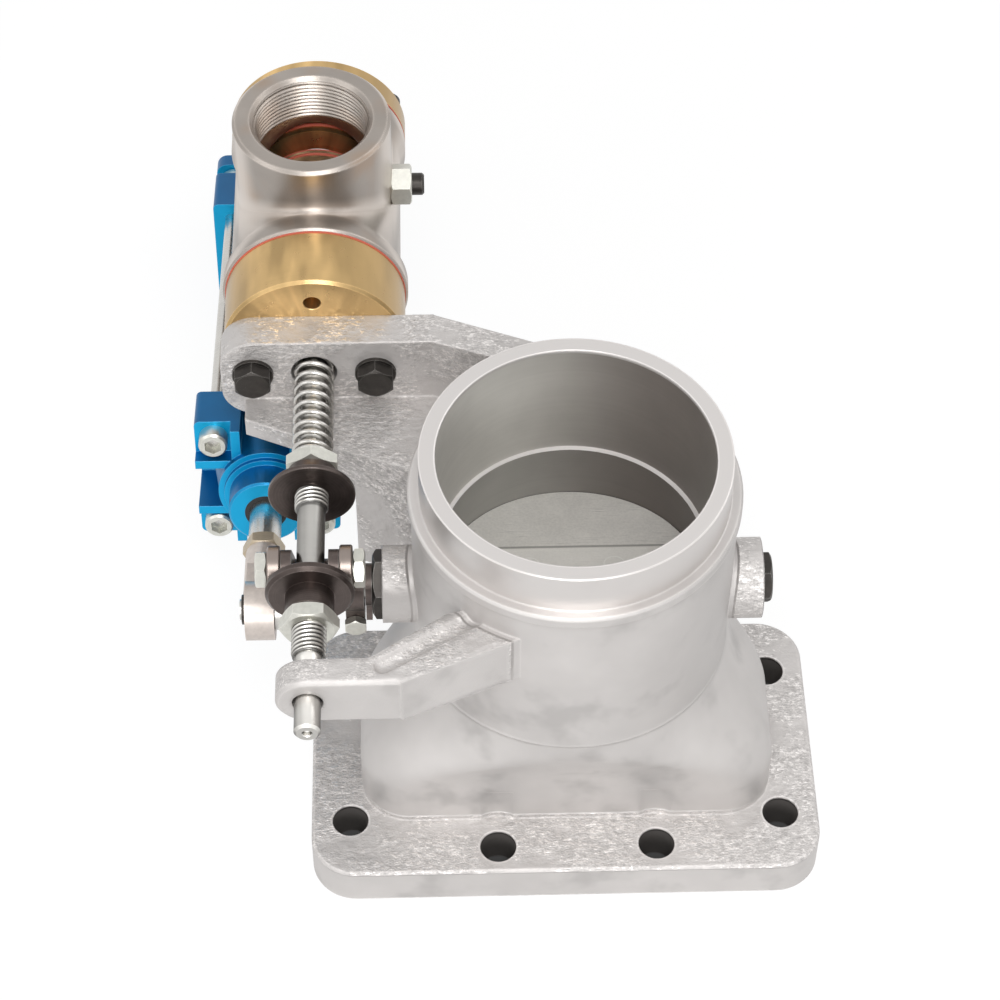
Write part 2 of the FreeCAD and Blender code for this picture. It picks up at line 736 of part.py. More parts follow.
def stem_nut(y, turn):
    nut = hex_nut(Y_AXIS, at_stem(y), stem_nut_af, front_nut_t, turn)
    return nut.cut(along(Y_AXIS, at_stem(y), thread_d / 2, front_nut_t))


def return_spring():
    """The spring's outer sleeve of space: a tube as thick as its wire."""
    return ring(Y_AXIS, at_stem(spring_front_y + open_gap), spring_d / 2, spring_d / 2 - spring_wire,
                spring_back_y - spring_front_y - 2 * open_gap)


def valve_piston():
    front = piston_back_y - piston_head_length
    r = piston_head_d / 2
    ring_front = piston_back_y - 9 - piston_ring_t
    profile = [(front, r - 7), (front + 8, r - 7), (front + 8, r - 1), (front + 9, r),
               (ring_front, r), (ring_front, r - piston_ring_depth),
               (ring_front + piston_ring_t, r - piston_ring_depth), (ring_front + piston_ring_t, r),
               (piston_back_y - 1, r), (piston_back_y, r - 1)]
    body = turned(Y_AXIS, at_stem(0), profile)
    bores = [along(Y_AXIS, at_stem(front - 1), stem_d / 2, 11),
             along(Y_AXIS, at_stem(front), stem_end_d / 2, piston_head_length)]
    return body.cut(Part.makeCompound(bores))


def piston_ring():
    start = piston_back_y - 9 - piston_ring_t
    return ring(Y_AXIS, at_stem(start), piston_head_d / 2 + 1.2,
                piston_head_d / 2 - piston_ring_depth, piston_ring_t)


def face_seal():
    return ring(Y_AXIS, at_stem(piston_back_y), face_seal_d / 2, stem_end_d / 2, face_seal_t)


def stem_end_nut():
    start = at_stem(piston_back_y + face_seal_t)
    nut = hex_nut(Y_AXIS, start, stem_end_nut_af, stem_end_nut_t)
    return nut.cut(along(Y_AXIS, start, stem_end_d / 2, stem_end_nut_t))


# Tee, bonnet and adapter

def bracket_bolt_starts():
    y = wall_front_y - washer_t
    return [V(stem_x + side * bracket_bolt_spacing / 2, y, stem_z) for side in (-1, 1)]


def bracket_bolts():
    bolts = []
    for start in bracket_bolt_starts():
        head = hex_nut(-Y_AXIS, start, bracket_bolt_af, bracket_bolt_head, 0, False, True)
        bolts.append(head.fuse(along(Y_AXIS, start, bracket_bolt_d / 2,
                                     washer_t + wall_t + bracket_bolt_grip)))
    return Part.makeCompound(bolts)


def bracket_washers():
    return Part.makeCompound([ring(Y_AXIS, start, bracket_bolt_d, bracket_bolt_d / 2, washer_t)
                              for start in bracket_bolt_starts()])


def bonnet():
    r = bonnet_d / 2
    back = bonnet_back_y
    profile = [(wall_back_y, r - bonnet_chamfer), (wall_back_y + bonnet_chamfer, r), (back, r),
               (back, tee_bore_d / 2 + seal_t), (back + seal_t, tee_bore_d / 2),
               (back + spigot_in_tee, tee_bore_d / 2)]
    body = turned(Y_AXIS, at_stem(0), profile)
    cuts = [along(Y_AXIS, at_stem(wall_back_y), stem_hole_d / 2, spring_pocket_depth),
            along(Y_AXIS, at_stem(wall_back_y), stem_d / 2 + running_gap,
                  bonnet_length + spigot_in_tee),
            along(Y_AXIS, at_stem(back + spigot_in_tee - stem_seal_length()), stem_d / 2 + 4,
                  stem_seal_length()),
            along(Y_AXIS, V(stem_x, wall_back_y, vent_z), vent_d / 2, vent_depth)]
    for start in bracket_bolt_starts():
        cuts.append(along(Y_AXIS, start, bracket_bolt_d / 2,
                          washer_t + wall_t + bracket_bolt_grip + 1))
    return body.cut(Part.makeCompound(cuts))


def stem_seal_length():
    return 8.0


def stem_seal():
    start = at_stem(bonnet_back_y + spigot_in_tee - stem_seal_length())
    return ring(Y_AXIS, start, stem_d / 2 + 4, stem_d / 2 + running_gap, stem_seal_length())


def joint_ring(y):
    return ring(Y_AXIS, at_stem(y), bonnet_d / 2 + 0.4, tee_bore_d / 2 + seal_t, seal_t)


def tee_body():
    r, rim = tee_d / 2, tee_rim_d / 2
    front, back = tee_front_y, tee_back_y
    profile = [(front, rim - 1), (front + 1, rim), (front + tee_rim_t, rim),
               (front + tee_rim_t + 7, r), (back - tee_rim_t - 7, r), (back - tee_rim_t, rim - 1),
               (back - 1, rim - 1), (back, rim - 2)]
    run = turned(Y_AXIS, at_stem(0), profile)
    neck_at = V(stem_x, tee_centre_y, stem_z)
    neck = along(Z_AXIS, neck_at, neck_d / 2, port_z - stem_z)
    top = [e for e in neck.Edges if e.BoundBox.ZMin > port_z - 0.01]
    body = run.fuse(neck.makeChamfer(1.5, top))
    cuts = [along(Y_AXIS, at_stem(front - 1), tee_bore_d / 2, 2 * tee_half_length + 2),
            along(Z_AXIS, neck_at, port_bore_d / 2, port_z - stem_z),
            along(-Z_AXIS, V(stem_x, tee_centre_y, port_z + 1), port_d / 2, port_thread_depth + 3),
            Part.makeCone(port_d / 2, port_d / 2 + 2, 2, V(stem_x, tee_centre_y, port_z - 2), Z_AXIS),
            along(X_AXIS, V(stem_x, tee_centre_y, side_z), side_bore_d / 2, neck_d / 2 + 1)]
    return body.cut(Part.makeCompound(cuts)).removeSplitter()


def side_fitting():
    flat_x = stem_x + neck_d / 2 - 1.0
    start = V(flat_x, tee_centre_y, side_z)
    outside = hex_nut(X_AXIS, start, side_hex, side_hex_t, 0)
    outside = outside.cut(along(Z_AXIS, V(stem_x, tee_centre_y, side_z - 20), neck_d / 2, 40))
    outside = outside.cut(along(Y_AXIS, at_stem(tee_front_y), tee_d / 2, 2 * tee_half_length))
    stub = along(-X_AXIS, start + X_AXIS * 2, side_bore_d / 2, 8.0)
    keep_in = along(Z_AXIS, V(stem_x, tee_centre_y, side_z - 20), port_bore_d / 2, 40)
    return outside.fuse(stub).cut(keep_in)


def side_plug():
    start = V(stem_x + neck_d / 2 - 1.0 + side_hex_t, tee_centre_y, side_z)
    return turned(X_AXIS, start, [(0, side_plug_d / 2), (side_plug_t - 1, side_plug_d / 2),
                                  (side_plug_t, side_plug_d / 2 - 1)])


def outlet_adapter():
    r = adapter_d / 2
    profile = [(seat_y, seat_d / 2 + 2.5), (seat_y + 2.5, tee_bore_d / 2),
               (adapter_front_y - seal_t, tee_bore_d / 2), (adapter_front_y, tee_bore_d / 2 + seal_t),
               (adapter_front_y, r), (adapter_back_y - 1.5, r), (adapter_back_y, r - 1.5)]
    body = turned(Y_AXIS, at_stem(0), profile)
    cuts = [along(Y_AXIS, at_stem(seat_y - 1), seat_d / 2, adapter_spigot + adapter_t + 2),
            along(Y_AXIS, at_stem(seat_y + 14), outlet_d / 2, adapter_spigot + adapter_t)]
    for start in bracket_screw_starts():
        cuts.append(along(-Y_AXIS, start, bracket_screw_d / 2, 10))
    return body.cut(Part.makeCompound(cuts))


# Cylinder bracket

def bracket_screw_starts():
    places = []
    for angle in bracket_screw_angles:
        a = math.radians(angle)
        r = bracket_screw_circle_d / 2
        places.append(V(stem_x + r * math.cos(a), adapter_back_y, stem_z + r * math.sin(a)))
    return places


def cylinder_bracket():
    """A plate bolted behind the adapter, with a swan neck over the cylinder down to its pivot."""
    back = adapter_back_y + bracket_plate_t
    plate = along(Y_AXIS, at_stem(adapter_back_y), bracket_plate_r, bracket_plate_t)
    upper = box(stem_x - 2 * bracket_plate_r, stem_x + 2 * bracket_plate_r, adapter_back_y - 1,
                back + 1, stem_z + 12, stem_z + 2 * bracket_plate_r)
    left = cylinder_x - bracket_neck_t / 2
    over = in_cylinder(clevis_end, 0, cap_side / 2).z + 11
    behind = in_cylinder(clevis_end, 0, cap_side / 2).y + 3
    depth = bracket_neck_depth
    low = V(0, pivot.y, pivot.z)
    top = stem_z - bracket_screw_head_d
    profile = [(adapter_back_y, top), (back, top), (back + depth / 2, over + 1.4 * depth),
               (behind, over + depth), (behind + depth, over), (low.y + bracket_eye_r, low.z),
               (low.y, low.z - bracket_eye_r), (low.y - bracket_eye_r, low.z), (behind, over - 8),
               (behind - 8, over), (adapter_back_y, over + 8)]
    corners = [V(left, y, z) for y, z in profile]
    neck = Part.Face(Part.makePolygon(corners + corners[:1])).extrude(X_AXIS * bracket_neck_t)
    eye_end = along(X_AXIS, V(cylinder_x - bracket_eye_t / 2, pivot.y, pivot.z), bracket_eye_r,
                    bracket_eye_t)
    swing = along(X_AXIS, V(cylinder_x - bracket_eye_t, pivot.y, pivot.z),
                  pivot_pin_d / 2 + running_gap, 2 * bracket_eye_t)
    cuts = [along(Y_AXIS, at_stem(adapter_back_y - 1), outlet_d / 2 + 5, bracket_plate_t + 2),
            swing, upper]
    for start in bracket_screw_starts():
        cuts.append(along(Y_AXIS, start - Y_AXIS, bracket_screw_d / 2 + bolt_gap,
                          bracket_plate_t + 2))
        cuts.append(along(Y_AXIS, start + Y_AXIS * bracket_plate_t,
                          bracket_screw_head_d / 2 + 1, 30))
    return plate.multiFuse([neck, eye_end]).cut(Part.makeCompound(cuts)).removeSplitter()


def bracket_screws():
    screws = []
    for start in bracket_screw_starts():
        seat = start + Y_AXIS * bracket_plate_t
        head = along(Y_AXIS, seat, bracket_screw_head_d / 2, bracket_screw_head)
        head = head.cut(hex_bar(Y_AXIS, seat + Y_AXIS * (bracket_screw_head - 4), 6.0, 5))
        screws.append(head.fuse(along(-Y_AXIS, seat, bracket_screw_d / 2, bracket_plate_t + 9.5)))
    return Part.makeCompound(screws)


# Cylinder

def tie_rod_places():
    return corners_of(tie_rod_offset)


def cap_block(start, length, web_at_end):
    """Four corner lugs on a flared core, joined by a square web where the barrel seats."""
    block = cylinder_block(start, start + length, cap_side / 2, cap_side / 2)
    edges = [e for e in block.Edges if abs(e.Length - length) < 0.01]
    block = block.makeFillet(cap_edge_r, edges)
    open_from = start - 1 if web_at_end else start + cap_web_t
    open_to = start + length - cap_web_t if web_at_end else start + length + 1
    reach = cap_side / 2
    slots = []
    for side in (-1, 1):
        slots.append(cylinder_block(open_from, open_to, reach / 2, cap_slot / 2, side * reach))
        slots.append(cylinder_block(open_from, open_to, cap_slot / 2, reach / 2, 0, side * reach))
    r1, r2 = cap_core_d / 2, cap_core_end_d / 2
    if not web_at_end:
        r1, r2 = r2, r1
    core = Part.makeCone(r1, r2, length, in_cylinder(start), axis_back)
    return block.cut(Part.makeCompound(slots)).fuse(core).common(
        cylinder_block(start, start + length, reach, reach))


def nut_pockets(start, end):
    """Square recesses for the tie rod nuts, open at the corners of a cap."""
    pockets = []
    for x, up in tie_rod_places():
        sx, su = math.copysign(nut_pocket_half, x), math.copysign(nut_pocket_half, up)
        pockets.append(cylinder_block(start, end, 2 * nut_pocket_half, 2 * nut_pocket_half,
                                      x + sx, up + su))
    return pockets


def tie_rod_holes(start, end):
    return [along(axis_back, in_cylinder(start, x, up), tie_rod_d / 2, end - start)
            for x, up in tie_rod_places()]


def air_port(distance):
    """A port drilled up into a cap, with a spot face for its fitting."""
    outside = in_cylinder(distance, 0, -cap_side / 2)
    to_seat = cap_side / 2 - air_port_seat
    face = along(axis_up, outside, air_port_face_d / 2, to_seat)
    return face.fuse(along(axis_up, outside, air_port_d / 2, to_seat + air_port_depth))


def front_cap():
    block = cap_block(cap_start, front_cap_length, True)
    base = cap_start - nose_base_t
    step = base - nose_step_t
    nose = turned(axis_back, in_cylinder(0), [
        (nose_start, nose_d / 2 - 1), (nose_start + 1, nose_d / 2), (step, nose_d / 2),
        (step, nose_step_d / 2), (base, nose_step_d / 2), (base, nose_base_d / 2),
        (cap_start + 1, nose_base_d / 2)])
    register = along(axis_back, in_cylinder(cap_end - 1), cylinder_bore_d / 2, barrel_register + 1)
    body = block.multiFuse([nose, register])
    cuts = [along(axis_back, in_cylinder(nose_start - 1), rod_d / 2 + running_gap,
                  cap_end - nose_start + barrel_register + 2),
            along(axis_back, in_cylinder(nose_start - 1), rod_d / 2 + bush_wall,
                  wiper_t + rod_bush_length + 1),
            along(axis_back, in_cylinder(cap_end - 8), rod_d / 2 + 5, barrel_register + 9),
            air_port(cap_start + front_cap_length / 2)]
    cuts += tie_rod_holes(cap_start - 1, cap_end + 1)
    cuts += nut_pockets(cap_start - 1, cap_start + nut_pocket_depth)
    return body.cut(Part.makeCompound(cuts)).removeSplitter()


def rear_cap():
    register = along(axis_back, in_cylinder(barrel_end - barrel_register), cylinder_bore_d / 2,
                     barrel_register + 1)
    cuts = [along(axis_back, in_cylinder(barrel_end - barrel_register - 1), rod_d / 2 + 5, 12),
            air_port(barrel_end + rear_cap_length / 2)]
    cuts += tie_rod_holes(barrel_end - 1, rear_cap_end + 1)
    body = cap_block(barrel_end, rear_cap_length, False).fuse(register)
    return body.cut(Part.makeCompound(cuts)).removeSplitter()


def clevis():
    """The rear clevis on its square flange, standing on the tie rod nuts."""
    plate = cylinder_block(clevis_start, clevis_end, cap_side / 2, cap_side / 2)
    edges = [e for e in plate.Edges if abs(e.Length - clevis_plate_t) < 0.01]
    parts = []
    half = (ear_outer - ear_inner) / 2
    for side in (-1, 1):
        middle = side * (ear_inner + half)
        parts.append(cylinder_block(clevis_end - 1, pivot_distance, half, ear_r, middle))
        parts.append(along(X_AXIS, in_cylinder(pivot_distance, middle - half), ear_r, 2 * half))
    cuts = [along(X_AXIS, in_cylinder(pivot_distance, -ear_outer - 1), pivot_pin_d / 2,
                  2 * ear_outer + 2)]
    for x, up in tie_rod_places():
        cuts.append(along(axis_back, in_cylinder(clevis_start - 1, x, up), clevis_screw_d / 2,
                          clevis_plate_t + 2))
        cuts.append(along(axis_back, in_cylinder(clevis_end, x, up), clevis_screw_d, 40))
    body = plate.makeFillet(clevis_corner_r, edges).multiFuse(parts)
    return body.cut(Part.makeCompound(cuts)).removeSplitter()


def clevis_screws():
    """Four screws through the clevis flange into the threads of the nuts."""
    screws = []
    for x, up in tie_rod_places():
        seat = in_cylinder(clevis_end, x, up)
        head = along(axis_back, seat, 0.85 * clevis_screw_d, clevis_screw_d)
        head = head.cut(hex_bar(axis_back, seat + axis_back * (clevis_screw_d - 2.5), 4.0, 3))
        shank = along(-axis_back, seat, clevis_screw_d / 2, clevis_plate_t + tie_nut_socket_depth)
        screws.append(head.fuse(shank))
    return Part.makeCompound(screws)


def cylinder_barrel():
    return ring(axis_back, in_cylinder(cap_end), barrel_od / 2, cylinder_bore_d / 2,
                barrel_end - cap_end)


def tie_rods():
    start = cap_start + nut_pocket_depth - tie_nut_t + tie_nut_socket_depth
    end = rear_cap_end + tie_nut_t - tie_nut_socket_depth
    return Part.makeCompound(tie_rod_holes(start, end))


def tie_rod_nuts():
    """Round nuts: sockets in the front four, screw threads in the rear four."""
    nuts = []
    grip = tie_nut_t - tie_nut_socket_depth
    blank = [(0, tie_nut_d / 2), (tie_nut_t - 1, tie_nut_d / 2), (tie_nut_t, tie_nut_d / 2 - 1)]
    for x, up in tie_rod_places():
        front = in_cylinder(cap_start + nut_pocket_depth, x, up)
        rear = in_cylinder(rear_cap_end, x, up)
        socket = hex_bar(-axis_back, front - axis_back * grip, tie_nut_socket, tie_nut_t)
        thread = along(axis_back, rear + axis_back * grip, clevis_screw_d / 2, tie_nut_t)
        for axis, start, hollow in ((-axis_back, front, socket), (axis_back, rear, thread)):
            rod = along(axis, start, tie_rod_d / 2, grip)
            nuts.append(turned(axis, start, blank).cut(rod).cut(hollow))
    return Part.makeCompound(nuts)


def rod_bush():
    return ring(axis_back, in_cylinder(nose_start + wiper_t), rod_d / 2 + bush_wall,
                rod_d / 2 + running_gap, rod_bush_length)


def rod_wiper():
    return ring(axis_back, in_cylinder(nose_start), rod_d / 2 + bush_wall, rod_d / 2 + running_gap,
                wiper_t)


def pivot_pin():
    reach = ear_outer + 3.0
    return along(X_AXIS, in_cylinder(pivot_distance, -reach), pivot_pin_d / 2, 2 * reach)


def pivot_clips():
    clips = []
    for x in (-ear_outer - clip_t, ear_outer):
        clips.append(ring(X_AXIS, in_cylinder(pivot_distance, x), 0.72 * pivot_pin_d,
                          pivot_pin_d / 2, clip_t))
    return Part.makeCompound(clips)


# Cylinder rod, piston and rod end

def piston_rod():
    profile = [(neck_start + 4, rod_thread_d / 2), (rod_end_length + jam_nut_t, rod_thread_d / 2),
               (rod_end_length + jam_nut_t, rod_d / 2), (cylinder_piston_start, rod_d / 2),
               (cylinder_piston_start, rod_thread_d / 2),
               (cylinder_piston_start + cylinder_piston_length, rod_thread_d / 2)]
    return turned(axis_back, in_cylinder(0), profile)


def cylinder_piston():
    r = cylinder_bore_d / 2 - 0.15
    start = cylinder_piston_start
    groove = (cylinder_piston_length - piston_seal_t) / 2
    profile = [(start, r - 1), (start + 1, r), (start + groove, r), (start + groove, r - 4),
               (start + groove + piston_seal_t, r - 4), (start + groove + piston_seal_t, r),
               (start + cylinder_piston_length - 1, r), (start + cylinder_piston_length, r - 1)]
    bore = along(axis_back, in_cylinder(start), rod_thread_d / 2, cylinder_piston_length)
    return turned(axis_back, in_cylinder(0), profile).cut(bore)


def cylinder_piston_seal():
    start = cylinder_piston_start + (cylinder_piston_length - piston_seal_t) / 2
    r = cylinder_bore_d / 2
    return ring(axis_back, in_cylinder(start), r - running_gap, r - 0.15 - 4, piston_seal_t)


def rod_end():
    """An eye that narrows into the round neck on the rod's thread."""
    flat = along(X_AXIS, in_cylinder(0, -eye_t / 2), eye_r, eye_t)
    half = rod_end_d / 2
    shank = along(axis_back, in_cylinder(neck_start - 6), half, rod_end_length - neck_start + 6)
    taper = cylinder_block(0, neck_start + 8, eye_t / 2, half)
    body = flat.multiFuse([shank, taper])
    cuts = [along(X_AXIS, in_cylinder(0, -eye_t), eye_bore_d / 2, 2 * eye_t),
            along(axis_back, in_cylinder(neck_start + 4), rod_thread_d / 2,
                  rod_end_length - neck_start)]
    return body.cut(Part.makeCompound(cuts)).removeSplitter()


def jam_nut():
    start = in_cylinder(rod_end_length)
    nut = hex_nut(axis_back, start, jam_nut_af, jam_nut_t, 30)
    return nut.cut(along(axis_back, start, rod_thread_d / 2, jam_nut_t))


pieces = {
    "valve_body": valve_body(),
    "shaft_bush_left": shaft_bush(-1),
    "shaft_bush_right": shaft_bush(1),
    "shaft_packing": shaft_packing(),
    "gland_nut": gland_nut(),
    "end_plug": end_plug(),
    "throttle_shaft": throttle_shaft(),
    "throttle_disc": throttle_disc(),
    "disc_screws": Part.makeCompound(disc_screws()),
    "stop_collar": stop_collar(),
    "crank": crank(),
    "roller_bolt_left": roller_bolt(-1),
    "roller_bolt_right": roller_bolt(1),
    "roller_left": roller(-1),
    "roller_right": roller(1),
    "clamp_screw": clamp_screw(),
    "crank_pin": crank_pin_bar(),
    "crank_pin_clip": crank_pin_clip(),
    "crank_pin_spacer": crank_pin_spacer(),
    "valve_stem": valve_stem(),
    "front_disc": front_disc(),
    "rear_disc": rear_disc(),
    "front_nut": stem_nut(front_stack()[2], 30),
    "rear_nut": stem_nut(rear_stack()[2], 0),
    "return_spring": return_spring(),
    "valve_piston": valve_piston(),
    "piston_ring": piston_ring(),
    "face_seal": face_seal(),
    "stem_end_nut": stem_end_nut(),
    "bracket_bolts": bracket_bolts(),
    "bracket_washers": bracket_washers(),
    "bonnet": bonnet(),
    "stem_seal": stem_seal(),
    "bonnet_seal": joint_ring(bonnet_back_y),
    "adapter_seal": joint_ring(tee_back_y),
    "tee_body": tee_body(),
    "side_fitting": side_fitting(),
    "side_plug": side_plug(),
    "outlet_adapter": outlet_adapter(),
    "cylinder_bracket": cylinder_bracket(),
    "bracket_screws": bracket_screws(),
    "front_cap": front_cap(),
    "rear_cap": rear_cap(),
    "clevis": clevis(),
    "clevis_screws": clevis_screws(),
    "cylinder_barrel": cylinder_barrel(),
    "tie_rods": tie_rods(),
    "tie_rod_nuts": tie_rod_nuts(),
    "rod_bush": rod_bush(),
    "rod_wiper": rod_wiper(),
    "pivot_pin": pivot_pin(),
    "pivot_clips": pivot_clips(),
    "piston_rod": piston_rod(),
    "cylinder_piston": cylinder_piston(),
    "cylinder_piston_seal": cylinder_piston_seal(),
    "rod_end": rod_end(),
    "jam_nut": jam_nut(),
}

os.makedirs("parts", exist_ok=True)
for name, shape in pieces.items():
    if not shape.isValid() or not shape.Solids:
        raise ValueError(name + " did not build as a closed solid")
    shape.exportStep("parts/" + name + ".step")
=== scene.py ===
import json
import math
from contextlib import contextmanager

import bmesh
import bpy
from bpy.props import FloatProperty, FloatVectorProperty, PointerProperty
from bpy.types import Operator, Panel, PropertyGroup
from mathutils import Matrix, Vector


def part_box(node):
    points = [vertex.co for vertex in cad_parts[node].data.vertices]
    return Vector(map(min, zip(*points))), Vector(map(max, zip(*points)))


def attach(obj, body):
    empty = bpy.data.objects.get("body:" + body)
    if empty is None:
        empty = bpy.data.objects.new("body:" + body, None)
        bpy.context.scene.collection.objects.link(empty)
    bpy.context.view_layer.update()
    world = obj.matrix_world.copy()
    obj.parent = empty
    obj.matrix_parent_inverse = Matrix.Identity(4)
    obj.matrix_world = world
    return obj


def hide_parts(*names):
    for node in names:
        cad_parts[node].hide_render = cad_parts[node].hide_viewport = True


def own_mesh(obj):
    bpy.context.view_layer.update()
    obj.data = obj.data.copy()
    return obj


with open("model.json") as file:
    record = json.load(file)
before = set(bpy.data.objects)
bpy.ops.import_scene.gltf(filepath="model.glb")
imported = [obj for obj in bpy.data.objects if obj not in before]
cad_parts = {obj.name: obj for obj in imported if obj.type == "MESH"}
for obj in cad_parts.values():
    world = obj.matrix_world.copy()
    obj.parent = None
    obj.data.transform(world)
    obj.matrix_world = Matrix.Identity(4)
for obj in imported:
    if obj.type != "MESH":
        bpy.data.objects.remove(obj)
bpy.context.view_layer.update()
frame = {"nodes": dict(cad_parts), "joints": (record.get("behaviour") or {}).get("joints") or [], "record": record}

bl_info = {
    "name": "Blowdown valve finishes",
    "version": (1, 0, 0),
    "blender": (4, 5, 0),
    "location": "3D View > Sidebar > Valve",
    "description": "Finishes, threads, spring and studio for a blowdown valve and its cylinder",
    "category": "Object",
}

MM = 0.001


# Places taken from the frame

def middle(node):
    low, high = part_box(node)
    return (low + high) / 2


def joint_named(name):
    return next(j for j in frame["joints"] if j["name"] == name)


def mount_named(name):
    return next(m for m in frame["record"]["mounts"] if m["name"] == name)


STEM = middle("valve_stem")
ON_STEM = Vector((STEM.x, 0, STEM.z))
CYLINDER_BACK = -Vector(joint_named("rod_slide")["axis"]).normalized()

# Each axis is a point on it and its direction, for the marks that turning leaves
AXES = {
    "duct": (Vector((0, 0, 0)), Vector((0, 0, 1))),
    "shaft": (middle("throttle_shaft"), Vector((1, 0, 0))),
    "stem": (STEM, Vector((0, 1, 0))),
    "cylinder": (middle("piston_rod"), CYLINDER_BACK),
    "roller": (middle("roller_left"), Vector((1, 0, 0))),
    "neck": (Vector(mount_named("blowdown_inlet")["pos_m"]), Vector((0, 0, 1))),
}

# Places on the casting, the disc and the tee, in millimetres, for the masks of their finishes
FLANGE_TOP = 22.0
HOLE_RADIUS = mount_named("flange_corner_bolts")["dims"]["hole_r_mm"]
FOOT_TOP, FOOT_LEFT, FOOT_BACK = 97.0, -105.0, 30.0
DUCT_RADIUS = 76.0
ARM_BOTTOM, ARM_BACK = 140.0, -10.0
BOSS_FACE, BOSS_RADIUS = 89.0, 20.0
BORE_REACH, THROAT_END = 65.5, 60.0
LEDGE, LEDGE_RADIUS = 152.0, 61.2
RIM_START, RIM_TOP, RIM_INNER, RIM_MIDDLE = 197.6, 220.0, 63.6, 67.4
PAD_EDGE, PAD_HALF_WIDTH = 21.5, 50.0
TEE_NECK_RADIUS, TEE_RUN_RADIUS, CREASE_LOW = 39.0, 42.3, 172.0

# Which way the front faces of the cylinder's caps look; those faces take the pale blue painted as light
CAP_FRONT = (0.0, -0.95, -0.31)

# Bare steel where a dark finish is rubbed through, and a pale brown painted as highlight on the rims of browned
# steel
BARE_STEEL = (0.34, 0.33, 0.31)
RIM_HIGHLIGHT_BROWN = (0.30, 0.26, 0.24)


def colour(name, text, value):
    return FloatVectorProperty(name=name, description=text, subtype="COLOR", size=3,
                               min=0.0, max=1.0, default=value)


def number(name, text, value, **more):
    return FloatProperty(name=name, description=text, default=value, **more)


def length(name, text, value):
    return number(name, text, value * MM, unit="LENGTH")


class ValveColours(PropertyGroup):
    """Colours of the finishes."""
    aluminium: colour("Cast aluminium", "Blasted skin of the casting", (0.60, 0.575, 0.56))
    bore: colour("Bore", "Turned wall of the duct", (0.60, 0.585, 0.545))
    # A dark brown painted as shade on the right-hand back of the bore
    bore_painted_shade: colour("Oiled bore", "Oil film on the duct's wall", (0.085, 0.063, 0.054))
    disc: colour("Throttle disc", "Face of the throttle disc", (0.74, 0.72, 0.68))
    brass: colour("Brass", "Turned brass", (0.62, 0.42, 0.19))
    bronze: colour("Bronze", "Bearing bronze", (0.52, 0.33, 0.16))
    stainless: colour("Stainless steel", "Brushed tee", (0.36, 0.325, 0.295))
    bright: colour("Bright steel", "Ground and turned steel", (0.60, 0.585, 0.555))
    zinc: colour("Zinc plate", "Plated nuts and bolts", (0.66, 0.655, 0.60))
    brown: colour("Oiled steel", "Browned steel of the discs", (0.085, 0.068, 0.062))
    crank: colour("Crank", "Browned skin of the crank", (0.1105, 0.0884, 0.0806))
    black: colour("Black oxide", "Blackened bolts", (0.050, 0.045, 0.041))
    rod_end: colour("Rod end", "Satin steel of the rod end", (0.64, 0.575, 0.53))
    roller: colour("Roller steel", "Hardened rings of the rollers", (0.29, 0.245, 0.22))
    jam_nut: colour("Yellow zinc", "Passivated jam nut", (0.50, 0.42, 0.31))
    piston: colour("Piston brass", "Brass of the valve piston", (0.86, 0.62, 0.38))
    blue: colour("Blue anodising", "Caps of the cylinder", (0.0, 0.12, 0.31))
    # Pale blue painted as light on the caps' front faces; the faces that look up keep the darker blue
    blue_front: colour("Pale blue", "Thin anodising on the caps' front", (0.0, 0.37, 0.68))
    # Lighter blue painted as highlight on the caps' edges
    blue_edge: colour("Blue edges", "Thin anodising on the caps' edges", (0.10, 0.42, 0.72))
    tube: colour("Tube", "Clear anodised cylinder tube", (0.38, 0.36, 0.35))
    # Pale grey painted as highlight on the tube's edges
    tube_edge: colour("Tube edges", "Bare edges of the tube", (0.62, 0.63, 0.64))
    red: colour("Red seal", "Seal rings", (0.66, 0.15, 0.10))
    rubber: colour("Rubber", "Black packings", (0.02, 0.02, 0.02))


class ValveSizes(PropertyGroup):
    """Sizes of the pieces that are added to the frame."""
    stem_pitch: length("Stem pitch", "Pitch of the threads on the stem", 2.309)
    stem_minor: length("Stem minor radius", "Radius at the roots of the stem's threads", 6.85)
    pipe_pitch: length("Pipe pitch", "Pitch of the pipe threads", 2.309)
    pipe_depth: length("Pipe thread depth", "Height of the pipe threads", 1.0)
    port_pitch: length("Air port pitch", "Pitch of the threads in the air ports", 1.337)
    port_depth: length("Air port thread depth", "Height of the threads in the air ports", 0.55)
    wire: length("Spring wire", "Wire diameter of the return spring", 2.7)
    vent_radius: length("Vent radius", "Radius of the vent in the bonnet", 4.2)
    vent_depth: length("Vent depth", "Depth of the vent in the bonnet", 12.0)
    vent_height: length("Vent height", "Height of the vent above the floor", 192.0)
    coil_pitch: length("Coil pitch", "Distance between the coils of the spring", 6.5)


class ValveStudio(PropertyGroup):
    """Camera and light."""
    focal: number("Focal length", "Focal length over the frame's width", 2.8946)
    pitch: number("Pitch", "How far the camera looks down", 0.881688, subtype="ANGLE")
    yaw: number("Yaw", "Turn of the camera to the right", 0.030848, subtype="ANGLE")
    roll: number("Roll", "Tilt of the camera about its own view", 0.006247, subtype="ANGLE")
    place: FloatVectorProperty(name="Place", description="Where the camera stands",
                               subtype="TRANSLATION", unit="LENGTH", size=3,
                               default=(-0.060007, -0.839659, 1.209013))
    key: number("Key light", "Power of the main lamp", 10.0)
    front: number("Front light", "Power of the low lamp in front", 7.0)
    fill: number("Fill light", "Power of the side lamps", 2.5)
    sky: number("Sky", "Strength of the even light", 0.38)


# Shader maths

def operation(kind, swapped=False):
    """An arithmetic method that adds a Math node, with its two numbers swapped if asked."""
    def method(self, other=0.0):
        first, second = (other, self) if swapped else (self, other)
        return self.board.add("ShaderNodeMath", {"operation": kind}, {0: first, 1: second})[0]
    return method


